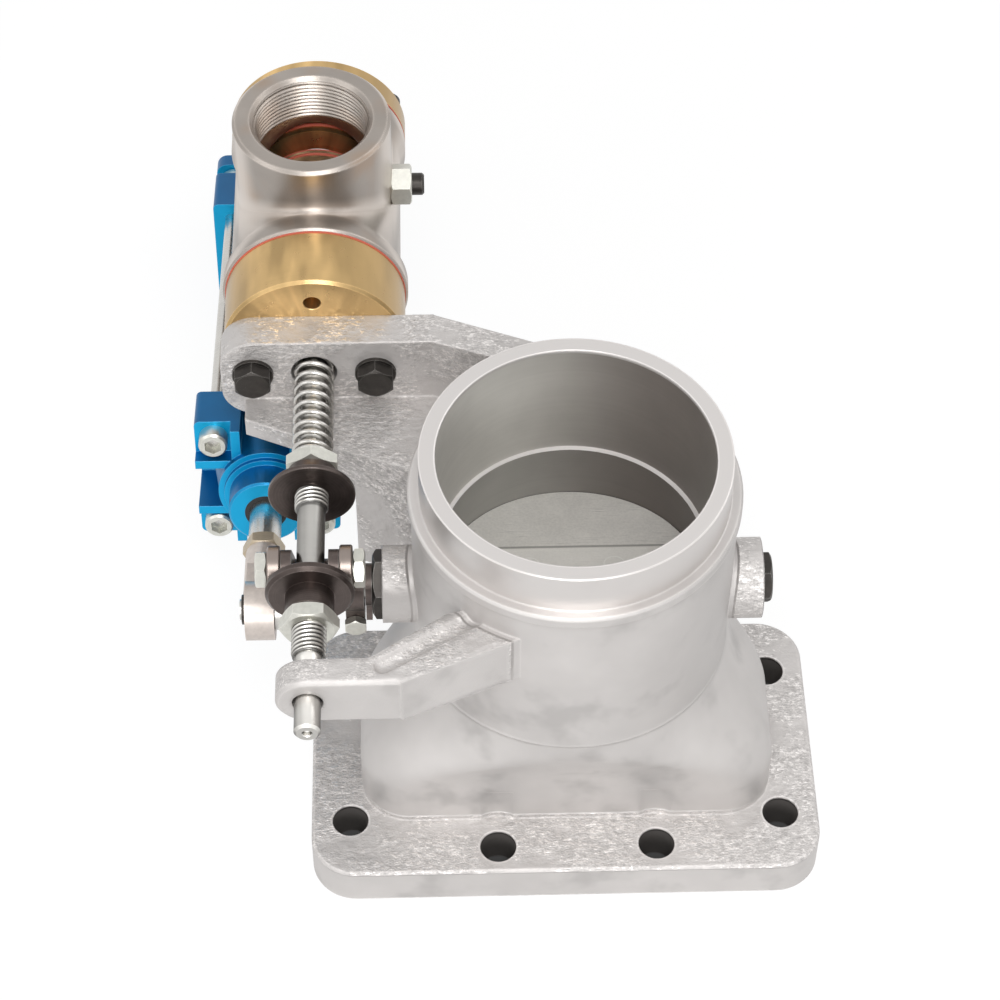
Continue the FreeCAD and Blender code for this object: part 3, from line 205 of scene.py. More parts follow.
class Wire:
    """A number in a material; arithmetic on it adds Math nodes."""

    __add__, __radd__ = operation("ADD"), operation("ADD", True)
    __sub__, __rsub__ = operation("SUBTRACT"), operation("SUBTRACT", True)
    __mul__, __rmul__ = operation("MULTIPLY"), operation("MULTIPLY", True)
    __pow__ = operation("POWER")
    __abs__ = operation("ABSOLUTE")
    most = operation("MAXIMUM")
    least = operation("MINIMUM")

    def __init__(self, board, socket):
        self.board = board
        self.socket = socket

    def rise(self, low, high):
        """0 below low, 1 above high, and a soft step between."""
        settings = {"interpolation_type": "SMOOTHSTEP"}
        values = {"Value": self, "From Min": low, "From Max": high}
        return self.board.add("ShaderNodeMapRange", settings, values)[0]


class Outputs:
    """The outputs of one node, by number or name."""

    def __init__(self, board, node):
        self.board = board
        self.node = node

    def __getitem__(self, key):
        return Wire(self.board, self.node.outputs[key])


class Board:
    """The nodes of one material or world."""

    def __init__(self, owner):
        self.owner = owner
        owner.use_nodes = True
        self.tree = owner.node_tree
        self.tree.nodes.clear()

    def add(self, kind, settings=None, values=None):
        """Adds a node: its settings first, then the values or links of its sockets."""
        node = self.tree.nodes.new(kind)
        for key, value in (settings or {}).items():
            setattr(node, key, value)
        for key, value in (values or {}).items():
            if isinstance(value, Wire):
                self.tree.links.new(value.socket, node.inputs[key])
            else:
                node.inputs[key].default_value = value
        return Outputs(self, node)

    def position(self):
        """The surface point in metres, in the object's own space."""
        return self.add("ShaderNodeTexCoord")["Object"]

    def vector(self, operation, first, second):
        values = {0: first, 1: second}
        return self.add("ShaderNodeVectorMath", {"operation": operation}, values)

    def scaled(self, vector, factor):
        values = {0: vector, "Scale": factor}
        return self.add("ShaderNodeVectorMath", {"operation": "SCALE"}, values)[0]

    def parts(self, vector):
        split = self.add("ShaderNodeSeparateXYZ", {}, {0: vector})
        return split[0], split[1], split[2]

    def joined(self, x, y, z):
        return self.add("ShaderNodeCombineXYZ", {}, {0: x, 1: y, 2: z})[0]

    def noise(self, size, detail=3.0, roughness=0.55, where=None):
        """Noise with features of about this size in metres, from 0 to 1."""
        values = {"Vector": where or self.position(), "Scale": 1.0 / size, "Detail": detail,
                  "Roughness": roughness}
        return self.add("ShaderNodeTexNoise", {}, values)["Fac"]

    def cells(self, size):
        """Distance to the nearest of scattered points about this far apart, from 0 to 1."""
        values = {"Vector": self.position(), "Scale": 1.0 / size}
        return self.add("ShaderNodeTexVoronoi", {}, values)["Distance"]

    def mix(self, first, second, factor):
        """A colour between two."""
        values = {0: factor, 6: solid(first), 7: solid(second)}
        settings = {"data_type": "RGBA", "clamp_factor": True}
        return self.add("ShaderNodeMix", settings, values)[2]

    def shaded(self, tone, amount):
        """A colour made lighter or darker by a factor."""
        grey = self.joined(amount, amount, amount)
        values = {0: 1.0, 6: solid(tone), 7: grey}
        settings = {"data_type": "RGBA", "blend_type": "MULTIPLY"}
        return self.add("ShaderNodeMix", settings, values)[2]

    def layered(self, shade, tone, *layers):
        """Lays lighter or darker shares of a tone over a shade, each where its mask is 1."""
        for share, mask in layers:
            shade = self.mix(shade, times(tone, share), mask)
        return shade

    def bump(self, height, distance, strength=1.0, normal=None):
        values = {"Height": height, "Distance": distance, "Strength": strength}
        if normal is not None:
            values["Normal"] = normal
        return self.add("ShaderNodeBump", {}, values)[0]

    def soft_edge(self, radius):
        """A normal that rounds the edges of cast pieces."""
        return self.add("ShaderNodeBevel", {"samples": 4}, {"Radius": radius})[0]

    def grazing(self):
        """0 where the surface faces the viewer and 1 at its outline."""
        return self.add("ShaderNodeLayerWeight", {}, {"Blend": 0.5})["Facing"]

    # Edge mask, used both for real wear and for painted highlights on edges
    def edge_wear_and_highlight(self, radius):
        """Edges within this distance, from 0 to 1."""
        bare = self.add("ShaderNodeNewGeometry")["Normal"]
        facing = self.vector("DOT_PRODUCT", self.soft_edge(radius), bare)["Value"]
        return (1.0 - facing).rise(0.02, 0.13)

    def finish(self, tone, rough, metallic, normal):
        """The surface shader of a material, which is done with it."""
        values = {"Base Color": solid(tone), "Roughness": rough, "Metallic": metallic,
                  "Normal": normal}
        surface = self.add("ShaderNodeBsdfPrincipled", {}, values)[0]
        self.add("ShaderNodeOutputMaterial", {}, {"Surface": surface})


def solid(tone):
    if isinstance(tone, Wire):
        return tone
    return (*tone, 1.0)


def times(tone, factor):
    return tuple(min(1.0, c * factor) for c in tone)


# Finishes

def around(board, axis):
    """Distance from an axis and distance along it, in millimetres."""
    point, direction = AXES[axis]
    away = board.vector("SUBTRACT", board.position(), point)[0]
    along = board.vector("DOT_PRODUCT", away, direction)["Value"]
    on_axis = board.scaled(tuple(direction), along)
    radius = board.vector("DISTANCE", away, on_axis)["Value"]
    return radius * (1.0 / MM), along * (1.0 / MM)


def turning_marks(board, axis, step):
    """Fine rings round an axis, from 0 to 1."""
    radius, along = around(board, axis)
    where = board.joined(radius, along, 0.0)
    fine = board.noise(step, 2.0, 0.6, where)
    broad = board.noise(step * 9.0, 1.0, 0.5, where)
    return fine * 0.6 + broad * 0.4


def from_bolts(x, y, mount_name):
    """Distance to the nearest bolt hole of a group of four, in millimetres."""
    mount = mount_named(mount_name)
    away_x = abs(abs(x - mount["pos_m"][0] / MM) - mount["dims"]["spacing_x_mm"] / 2)
    away_y = abs(abs(y - mount["pos_m"][1] / MM) - mount["dims"]["spacing_y_mm"] / 2)
    return (away_x * away_x + away_y * away_y) ** 0.5


def near_bolt_holes(x, y):
    """Distance to the nearest of the flange's eight bolt holes, in millimetres."""
    return from_bolts(x, y, "flange_corner_bolts").least(from_bolts(x, y, "flange_middle_bolts"))


def cast_aluminium(board, palette):
    """Blasted casting: rough on bracket, arm and flange, smooth on the duct, turned at the rim."""
    x, y, z = board.parts(board.scaled(board.position(), 1.0 / MM))
    r = (x * x + y * y) ** 0.5
    from_shaft = (y * y + (z - AXES["shaft"][0].z / MM) ** 2.0) ** 0.5
    facing_x, facing_y, facing_z = board.parts(board.add("ShaderNodeNewGeometry")["Normal"])
    above_flange = z.rise(FLANGE_TOP + 2.0, FLANGE_TOP + 4.0)
    barrel = r.rise(DUCT_RADIUS + 2.5, DUCT_RADIUS + 1.0) * z.rise(FOOT_TOP - 1.0, FOOT_TOP + 4.0)
    foot = above_flange * z.rise(FOOT_TOP + 4.0, FOOT_TOP)
    foot = foot * x.rise(FOOT_LEFT - 2.0, FOOT_LEFT) * y.rise(FOOT_BACK + 4.0, FOOT_BACK)
    sides = z.rise(FLANGE_TOP - 1.4, FLANGE_TOP - 2.2) * z.rise(0.2, 0.6)
    arm = z.rise(ARM_BOTTOM, ARM_BOTTOM + 1.0) * y.rise(ARM_BACK, ARM_BACK - 20.0)
    arm = arm * r.rise(DUCT_RADIUS + 2.0, DUCT_RADIUS + 4.0)
    arm_root = arm * r.rise(DUCT_RADIUS + 28.0, DUCT_RADIUS + 16.0)
    arm_front = arm * facing_y.rise(-0.4, -0.7)
    smooth = barrel.most(foot).most(sides).most(arm_front * 0.8)
    bore = r.rise(BORE_REACH + 1.0, BORE_REACH) * z.rise(THROAT_END, THROAT_END + 10.0)
    bore = bore * z.rise(RIM_TOP - 1.4, RIM_TOP - 1.9)
    ledge = abs(z - LEDGE).rise(0.5, 0.2) * r.rise(LEDGE_RADIUS, LEDGE_RADIUS + 0.2) * bore
    rim = z.rise(RIM_START, RIM_START + 0.6) * r.rise(RIM_INNER, RIM_INNER + 0.2)
    rim_top = z.rise(RIM_TOP - 0.8, RIM_TOP - 0.4) * rim
    rim_edge = rim_top * abs(r - RIM_MIDDLE).rise(3.0, 3.4)
    boss_face = abs(x).rise(BOSS_FACE, BOSS_FACE + 0.3) * from_shaft.rise(BOSS_RADIUS + 1.0, BOSS_RADIUS)
    near_bolt = near_bolt_holes(x, y)
    hole_wall = near_bolt.rise(HOLE_RADIUS + 0.65, HOLE_RADIUS + 0.45)
    hole_wall = hole_wall * z.rise(FLANGE_TOP - 0.6, FLANGE_TOP - 1.2) * abs(facing_z).rise(0.3, 0.2)
    hole_rim = near_bolt.rise(HOLE_RADIUS + 1.15, HOLE_RADIUS + 0.65)
    hole_rim = hole_rim * z.rise(FLANGE_TOP - 0.8, FLANGE_TOP - 0.4)
    hole_rim = hole_rim * z.rise(FLANGE_TOP + 0.4, FLANGE_TOP + 0.2)
    seam = r.rise(DUCT_RADIUS + 6.0, DUCT_RADIUS + 3.5) * r.rise(DUCT_RADIUS - 2.0, DUCT_RADIUS)
    seam = seam * z.rise(FOOT_TOP + 1.0, FOOT_TOP - 7.0) * z.rise(FLANGE_TOP + 2.0, FLANGE_TOP + 5.0)
    machined = rim.most(bore).most(boss_face)
    rough = (1.0 - smooth) * (1.0 - machined)

    patches = board.noise(26.0 * MM, 2.0, 0.5).rise(0.36, 0.54) * 0.75 + 0.25
    # Painted light on the bumps: the skin's noise less the same noise shifted a little gives bright slopes, a
    # painted highlight, and dark slopes, a painted shade
    stretched = board.joined(x * 0.62, y, z)
    shifted = board.joined(x * 0.62 + 0.15, y + 0.42, z - 0.34)
    skin = board.noise(2.3, 3.0, 0.62, stretched)
    lit = (skin - board.noise(2.3, 3.0, 0.62, shifted)) * rough * patches
    bright, dark = lit.rise(0.030, 0.100), lit.rise(-0.030, -0.110)
    grain = board.noise(0.5 * MM, 3.0, 0.6)
    clouds = board.noise(38.0 * MM)
    rings = turning_marks(board, "duct", 0.35)
    lumps = board.noise(9.0 * MM, 2.0, 0.5)
    lead = board.noise(30.0 * MM).rise(0.50, 0.72) * smooth
    # Painted highlight on the casting's edges, left off at the seam between foot and barrel
    edge_wear_and_highlight = board.edge_wear_and_highlight(1.8 * MM) * (1.0 - seam)
    shaded_side = x.rise(20.0, DUCT_RADIUS) * barrel

    tone = board.shaded(palette.aluminium, clouds * 0.30 + 0.84)
    # Among the layers over the tone: painted shade and highlight on the bumps, painted shade on the right side of
    # the barrel, and painted highlights on the edges, the rim's edges, the ledge and the hole rims
    tone = board.layered(tone, palette.aluminium, (0.62, dark * 0.6), (1.55, bright * 0.8),
                         (0.78, lead * 0.9), (0.80, shaded_side * 0.7), (1.12, rim * 0.6),
                         (1.10, rim_top), (1.30, edge_wear_and_highlight * 0.9 * (1.0 - rim_top)),
                         (1.45, rim_edge.most(ledge)), (1.35, hole_rim * 0.7))
    # Painted shade: the walls of the bolt holes go near black
    tone = board.mix(tone, (0.075, 0.066, 0.06), hole_wall * 0.92)
    # Painted shade: the bore's wall darker below the ledge
    wall = board.mix(palette.bore, times(palette.bore, 0.62), z.rise(LEDGE + 0.5, LEDGE - 0.5))
    # Painted shade: dark brown growing towards the right-hand back of the bore
    painted_bore_shade = (x * 0.8 + y * 0.6).rise(0.0, 74.0)
    wall = board.mix(wall, palette.bore_painted_shade, painted_bore_shade * 0.9)
    wall = board.shaded(wall, clouds * 0.4 + rings * 0.2 + 0.70)
    tone = board.mix(tone, wall, bore * (1.0 - ledge))

    height = skin * patches * rough * 1.2 + lumps * 0.9 * rough
    height = height + grain * 0.06 * (1.0 - machined) + rings * 0.02 * machined
    low_foot = foot * 8.0 * z.rise(FLANGE_TOP + 8.0, FLANGE_TOP + 18.0)
    edge_radius = (1.4 + low_foot + arm * 1.4 + arm_root * 3.0) * MM
    normal = board.bump(height, 1.0 * MM, 1.0, board.soft_edge(edge_radius))
    gloss = 0.46 + grain * 0.12 - machined * 0.14 - bright * 0.16 + hole_wall * 0.2
    metal = 0.50 + machined * 0.35 + bright * 0.25 - bore * 0.72 - hole_wall * 0.4
    board.finish(tone, gloss, metal, normal)


def throttle_plate(board, palette):
    """Machined plate with fine scratches across it and handling marks."""
    grain = board.noise(0.9 * MM, 4.0, 0.65)
    specks = board.cells(1.4 * MM)
    patches = board.noise(16.0 * MM, 3.0, 0.6)
    x, y, z = board.parts(board.scaled(board.position(), 1.0 / MM))
    scratches = board.noise(0.5, 1.0, 0.5, board.joined(x * 0.05, y, z))
    across = abs(x).rise(PAD_HALF_WIDTH + 2.0, PAD_HALF_WIDTH)
    pad_edge = abs(y - PAD_EDGE).rise(0.9, 0.5) * across
    pad = y.rise(PAD_EDGE, PAD_EDGE - 0.5) * across
    lines = scratches.rise(0.60, 0.72) * patches.rise(0.4, 0.6)
    tone = board.shaded(palette.disc, patches * 0.30 + grain * 0.16 + specks * 0.12 + 0.72)
    # The last layer is a painted highlight on the plate's edges
    tone = board.layered(tone, palette.disc, (0.6, lines * 0.5), (1.2, pad * 0.45),
                         (0.42, pad_edge * 0.8), (1.4, board.edge_wear_and_highlight(0.8 * MM) * 0.6))
    normal = board.bump(grain * 0.5 + scratches * 0.3 + specks * 0.2, 0.16 * MM, 0.8)
    board.finish(tone, 0.42 + grain * 0.18, 0.12, normal)


def turned(board, tone, axis, rough=0.28, depth=0.03, dull=0.25, step=0.30):
    """Turned metal with rings, slight tarnish in patches, fingermarks in the gloss and painted highlights on its
    edges.
    """
    marks = turning_marks(board, axis, step)
    patches = board.noise(11.0 * MM, 3.0, 0.6)
    smears = board.noise(4.0 * MM, 4.0, 0.7)
    shade = board.shaded(tone, marks * 0.22 + patches * dull + (0.88 - dull * 0.5))
    # Painted highlight on the edges
    shade = board.layered(shade, tone, (1.25, board.edge_wear_and_highlight(0.7 * MM) * 0.8))
    normal = board.bump(marks, depth * MM, 0.9)
    board.finish(shade, rough + smears * 0.10 + marks * 0.06, 1.0, normal)


def threaded_steel(board, tone, axis, root, crest):
    """Turned steel with painted shade in its thread roots, below a radius in millimetres, a painted highlight
    where it faces the viewer and painted shade at its outline.
    """
    marks = turning_marks(board, axis, 0.3)
    smears = board.noise(4.0 * MM, 4.0, 0.7)
    radius, along = around(board, axis)
    # Painted shade in the thread roots
    painted_root_shade = radius.rise(crest, root) * radius.rise(root - 0.9, root - 0.5)
    edge = board.grazing()
    shade = board.shaded(tone, marks * 0.22 + smears * 0.2 + 0.76)
    # Painted highlight where the stem faces the viewer, painted shade at its outline and in the thread roots
    shade = board.layered(shade, tone, (1.6, edge.rise(0.30, 0.12) * 0.8),
                          (0.16, edge.rise(0.30, 0.75) * 0.85), (0.22, painted_root_shade * 0.9))
    board.finish(shade, 0.24 + smears * 0.12, 1.0, board.bump(marks, 0.02 * MM, 0.9))


def streaked(board, tone, axis):
    """Turned brass with pale and dark streaks along its axis, painted shade at both sides and at its outline, and
    painted highlights on its edges.
    """
    x, y, z = board.parts(board.vector("SUBTRACT", board.position(), AXES[axis][0])[0])
    angle = board.add("ShaderNodeMath", {"operation": "ARCTAN2"}, {0: x, 1: z})[0]
    marks = turning_marks(board, axis, 0.3)
    broad = board.noise(0.35, 2.0, 0.5, board.joined(angle, y * 6.0, 0.0))
    smears = board.noise(5.0 * MM, 4.0, 0.7)
    # Painted shade: darker away from a band beside the axis, towards both sides
    away = abs(x + 9.0 * MM).rise(8.0 * MM, 34.0 * MM)
    shade = board.shaded(tone, marks * 0.12 + smears * 0.14 + 0.84)
    shade = board.layered(shade, tone, (1.4, broad.rise(0.48, 0.66) * 0.8),
                          (0.60, broad.rise(0.50, 0.34) * 0.8), (0.72, away * 0.8),
                          # The outline darkened as painted shade, the edges lightened as painted highlight
                          (0.45, board.grazing().rise(0.55, 0.95) * 0.6),
                          (1.5, board.edge_wear_and_highlight(0.9 * MM) * 0.8))
    board.finish(shade, 0.24 + smears * 0.10, 0.9, board.bump(marks, 0.025 * MM, 0.9))


def plated(board, tone, rough=0.30, metallic=0.9):
    """Zinc plate: pale, with a soft mottle and painted highlights on its corners."""
    mottle = board.noise(2.6 * MM, 4.0, 0.6)
    grain = board.noise(0.35 * MM, 2.0, 0.5)
    shade = board.shaded(tone, mottle * 0.36 + 0.76)
    # Painted highlight on the corners
    shade = board.layered(shade, tone, (1.25, board.edge_wear_and_highlight(0.7 * MM) * 0.8))
    normal = board.bump(mottle * 0.5 + grain * 0.5, 0.05 * MM, 0.8)
    board.finish(shade, rough + grain * 0.12, metallic, normal)


def oxide(board, tone, rough=0.34):
    """Blackened or browned steel whose edges and high spots wear bright."""
    mottle = board.noise(5.0 * MM, 4.0, 0.65)
    grain = board.noise(0.4 * MM, 3.0, 0.6)
    specks = board.noise(1.3 * MM, 3.0, 0.7).rise(0.62, 0.74)
    shade = board.shaded(tone, mottle * 0.9 + 0.55)
    shade = board.layered(shade, tone, (2.8, specks * 0.4))
    shade = board.mix(shade, BARE_STEEL, board.edge_wear_and_highlight(0.6 * MM) * (0.35 + mottle * 0.5))
    normal = board.bump(grain * 0.7 + mottle * 0.3, 0.06 * MM, 0.8)
    board.finish(shade, rough + grain * 0.16, 0.8, normal)


def browned(board, tone, axis):
    """Turned and browned steel: dark, with rings and rims that catch the light."""
    marks = turning_marks(board, axis, 0.55)
    mottle = board.noise(6.0 * MM, 3.0, 0.6)
    shade = board.shaded(tone, marks * 1.1 + mottle * 0.6 + 0.25)
    shade = board.mix(shade, RIM_HIGHLIGHT_BROWN, board.edge_wear_and_highlight(0.8 * MM) * (0.3 + mottle * 0.4))
    board.finish(shade, 0.24 + mottle * 0.16, 0.9, board.bump(marks, 0.08 * MM, 1.0))


def brushed(board, tone, axis):
    """Stainless steel brushed round its axis, with cloudy heat tints and painted highlights inside its outlines,
    on its edges and along the neck's crease.
    """
    radius, along = around(board, axis)
    height = board.parts(board.scaled(board.position(), 1.0 / MM))[2]
    lines = board.noise(0.6, 3.0, 0.7, board.joined(radius * 0.35, along * 2.2, 0.0))
    clouds = board.noise(26.0 * MM, 3.0, 0.5)
    grain = board.noise(0.6 * MM, 3.0, 0.6)
    edge = board.grazing()
    tint = board.noise(32.0 * MM, 2.0, 0.5).rise(0.50, 0.70)
    from_neck = abs(around(board, "neck")[0] - TEE_NECK_RADIUS)
    from_run = abs(radius - TEE_RUN_RADIUS)
    crease = (from_neck + from_run).rise(9.0, 0.5) * height.rise(CREASE_LOW, CREASE_LOW + 6.0)
    shade = board.shaded(tone, lines * 0.14 + clouds * 0.42 + 0.70)
    shade = board.mix(shade, (tone[0] * 1.04, tone[1] * 0.86, tone[2] * 0.72), tint * 0.7)
    # Painted highlights: a band inside the outline, the edges and the crease between neck and run
    shade = board.layered(shade, tone, (1.9, edge.rise(0.52, 0.72) * edge.rise(0.95, 0.80) * 0.7),
                          (1.9, board.edge_wear_and_highlight(1.6 * MM) * 0.8), (1.8, crease * 0.8))
    soft = board.soft_edge((1.0 + crease * 7.0) * MM)
    normal = board.bump(lines * 0.7 + grain * 0.3, 0.035 * MM, 1.0, soft)
    board.finish(shade, 0.27 + clouds * 0.10 + grain * 0.06, 1.0, normal)


def anodised(board, tone, edge, front=None):
    """Coloured anodising over a fine blasted surface, with painted highlights on its edges and a pale colour
    painted as light on its front faces.
    """
    grain = board.noise(0.30 * MM, 2.0, 0.6)
    clouds = board.noise(14.0 * MM, 2.0, 0.5)
    shade = board.shaded(tone, clouds * 0.30 + grain * 0.12 + 0.80)
    if front is not None:
        # Painted light: faces that look to the front take the pale colour
        bare = board.add("ShaderNodeNewGeometry")["Normal"]
        facing = board.vector("DOT_PRODUCT", bare, CAP_FRONT)["Value"]
        shade = board.mix(shade, front, facing.rise(-0.1, 0.9))
    # Painted highlight on the edges
    shade = board.mix(shade, edge, board.edge_wear_and_highlight(0.8 * MM) * 0.7)
    normal = board.bump(grain, 0.03 * MM, 0.8, board.soft_edge(0.5 * MM))
    board.finish(shade, 0.32 + grain * 0.12, 0.55, normal)


def moulded(board, tone, rough=0.55):
    """Rubber or plastic with a fine matt grain."""
    grain = board.noise(0.5 * MM, 3.0, 0.6)
    shade = board.shaded(tone, grain * 0.4 + 0.8)
    board.finish(shade, rough + grain * 0.15, 0.0, board.bump(grain, 0.04 * MM, 0.8))


# Each finish: its maker, its colours, its other settings and the nodes of the frame that take it
FINISHES = {
    "cast": (cast_aluminium, "", {}, ["valve_body"]),
    "plate": (throttle_plate, "", {}, ["throttle_disc", "disc_screws"]),
    "bronze": (turned, "bronze", {"axis": "shaft"},
               ["shaft_bush_left", "shaft_bush_right", "rod_bush"]),
    "rubber": (moulded, "rubber", {},
               ["shaft_packing", "rod_wiper", "cylinder_piston_seal", "stem_seal"]),
    "oxide": (oxide, "black", {},
              ["end_plug", "gland_nut", "bracket_bolts", "bracket_washers", "side_plug",
               "crank_pin_clip", "pivot_clips", "cylinder_bracket", "bracket_screws",
               "clevis_screws"]),
    "bright shaft": (turned, "bright", {"axis": "shaft", "rough": 0.24},
                     ["throttle_shaft", "crank_pin", "crank_pin_spacer", "pivot_pin"]),
    "bright stem": (threaded_steel, "bright", {"axis": "stem", "root": 7.2, "crest": 7.7},
                    ["valve_stem"]),
    "bright spring": (plated, "bright", {"rough": 0.22, "metallic": 1.0}, ["return_spring"]),
    "bright cylinder": (turned, "bright", {"axis": "cylinder", "rough": 0.20, "depth": 0.015},
                        ["piston_rod", "tie_rods"]),
    "zinc": (plated, "zinc", {},
             ["clamp_screw", "roller_bolt_left", "roller_bolt_right", "front_nut", "rear_nut",
              "stem_end_nut", "tie_rod_nuts", "side_fitting"]),
    "jam nut": (plated, "jam_nut", {}, ["jam_nut"]),
    "roller": (turned, "roller", {"axis": "roller", "rough": 0.26}, ["roller_left", "roller_right"]),
    "crank": (oxide, "crank", {"rough": 0.30}, ["crank", "stop_collar"]),
    "browned stem": (browned, "brown", {"axis": "stem"}, ["front_disc", "rear_disc"]),
    "rod end": (plated, "rod_end", {"rough": 0.34, "metallic": 0.85}, ["rod_end"]),
    "brass": (streaked, "brass", {"axis": "stem"}, ["bonnet", "outlet_adapter"]),
    "piston brass": (turned, "piston", {"axis": "stem", "rough": 0.22, "dull": 0.2, "step": 0.5},
                     ["valve_piston"]),
    "red": (moulded, "red", {"rough": 0.4},
            ["face_seal", "piston_ring", "bonnet_seal", "adapter_seal"]),
    "stainless": (brushed, "stainless", {"axis": "stem"}, ["tee_body"]),
    "blue": (anodised, "blue blue_edge blue_front", {}, ["front_cap", "rear_cap", "clevis"]),
    "tube": (anodised, "tube tube_edge", {}, ["cylinder_barrel", "cylinder_piston"]),
}


def material_name(name):
    """The material's name, which must differ from the plain materials of the frame."""
    return name.replace(" ", "_") + "_finish"


def finish_named(name):
    return bpy.data.materials[material_name(name)]


# Meshes

@contextmanager
def edited(mesh):
    """A mesh opened for edits and written back after them."""
    work = bmesh.new()
    work.from_mesh(mesh)
    yield work
    work.to_mesh(mesh)
    work.free()


def shade_smooth(mesh, sharp_angle):
    """Smooth faces that break at sharp edges."""
    with edited(mesh) as work:
        for face in work.faces:
            face.smooth = True
        for edge in work.edges:
            if len(edge.link_faces) == 2:
                edge.smooth = edge.calc_face_angle(0.0) < math.radians(sharp_angle)


def object_from(name, points, faces, material, sharp_angle=35.0):
    """A clean mesh object with one material."""
    mesh = bpy.data.meshes.new(name)
    mesh.from_pydata(points, [], faces)
    with edited(mesh) as work:
        bmesh.ops.remove_doubles(work, verts=work.verts, dist=2e-6)
        bmesh.ops.dissolve_degenerate(work, edges=work.edges, dist=1e-6)
        bmesh.ops.recalc_face_normals(work, faces=work.faces)
    shade_smooth(mesh, sharp_angle)
    mesh.materials.append(material)
    made = bpy.data.objects.new(name, mesh)
    bpy.context.scene.collection.objects.link(made)
    return made


def square_frame(direction):
    """Two directions square to a direction and to each other."""
    direction = Vector(direction).normalized()
    near = Vector((0, 0, 1)) if abs(direction.z) < 0.5 else Vector((1, 0, 0))
    side = (near - direction * near.dot(direction)).normalized()
    return side, direction.cross(side)


# Share of the thread's height at eight steps of one pitch: root, flank, crest, flank
THREAD_SHAPE = (0.0, 0.0, 0.35, 0.70, 1.0, 1.0, 0.66, 0.33)


def thread_share(phase):
    """Height of the thread at a phase given in steps of its shape."""
    low = math.floor(phase)
    here = THREAD_SHAPE[low % len(THREAD_SHAPE)]
    there = THREAD_SHAPE[(low + 1) % len(THREAD_SHAPE)]
    return here + (there - here) * (phase - low)


def thread_rows(start, end, pitch, turn):
    """Places along a thread and its height there, for one direction round the axis.

    turn runs from 0 to 1 round the axis, so the rows climb by one pitch."""
    steps = len(THREAD_SHAPE)
    count = steps * (math.ceil((end - start) / pitch) + 1)
    rows = []
    for row in range(count + 1):
        place = start + pitch * (row / steps + turn - 1.0)
        clamped = min(max(place, start), end)
        phase = row + (clamped - place) * steps / pitch
        rows.append((clamped, thread_share(phase)))
    return rows


def faded(place, start, end, fade_in, fade_out):
    """1 along a thread and 0 at its ends."""
    return max(0.0, min(1.0, (place - start) / fade_in, (end - place) / fade_out))


def seal_section(along, radius, wire):
    """The round section of a seal ring, as rows for turned_mesh."""
    angles = [math.pi * k / 4 for k in range(8)]
    return [(along + wire * math.cos(a), radius + wire * math.sin(a)) for a in angles]


def turned_mesh(name, origin, direction, column, segments, material, closed=False):
    """A turned piece from rows of (distance along, radius).

    Where the rows differ round the axis, column is a function of turn that gives them."""
    side, other = square_frame(direction)
    direction = Vector(direction).normalized()
    points = []
    faces = []
    size = 0
    for k in range(segments + 1):
        turn = k / segments
        angle = 2 * math.pi * turn
        out = side * math.cos(angle) + other * math.sin(angle)
        profile = column(turn) if callable(column) else column
        size = len(profile)
        points += [Vector(origin) + direction * s + out * r for s, r in profile]
    last = size if closed else size - 1
    for k in range(segments):
        for row in range(last):
            a, b = k * size + row, k * size + (row + 1) % size
            faces.append((a, b, b + size, a + size))
    return object_from(name, points, faces, material)


def combined(base, other, operation):
    """Joins a solid with another or cuts it, and drops the other."""
    modifier = base.modifiers.new("shape", "BOOLEAN")
    modifier.operation = operation
    modifier.solver = "EXACT"
    modifier.object = other
    found = base.evaluated_get(bpy.context.evaluated_depsgraph_get())
    mesh = bpy.data.meshes.new_from_object(found)
    base.modifiers.clear()
    base.data = mesh
    bpy.data.objects.remove(other)


def rides(made, body, slot, *replaced):
    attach(made, body)
    if replaced:
        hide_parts(*replaced)


# Pieces

class VALVE_OT_finishes(Operator):
    """Gives every node of the frame its own finish"""
    bl_idname = "valve.finishes"
    bl_label = "Finishes"

    def execute(self, context):
        palette = context.scene.valve_colours
        done = set()
        for name, (maker, colours, settings, nodes) in FINISHES.items():
            board = Board(bpy.data.materials.new(material_name(name)))
            tones = [getattr(palette, key) for key in colours.split()] or [palette]
            maker(board, *tones, **settings)
            for node in nodes:
                made = frame["nodes"][node]
                made.data.materials.clear()
                made.data.materials.append(board.owner)
                done.add(node)
        left = set(frame["nodes"]) - done
        if left:
            raise RuntimeError("no finish for " + ", ".join(sorted(left)))
        return {"FINISHED"}


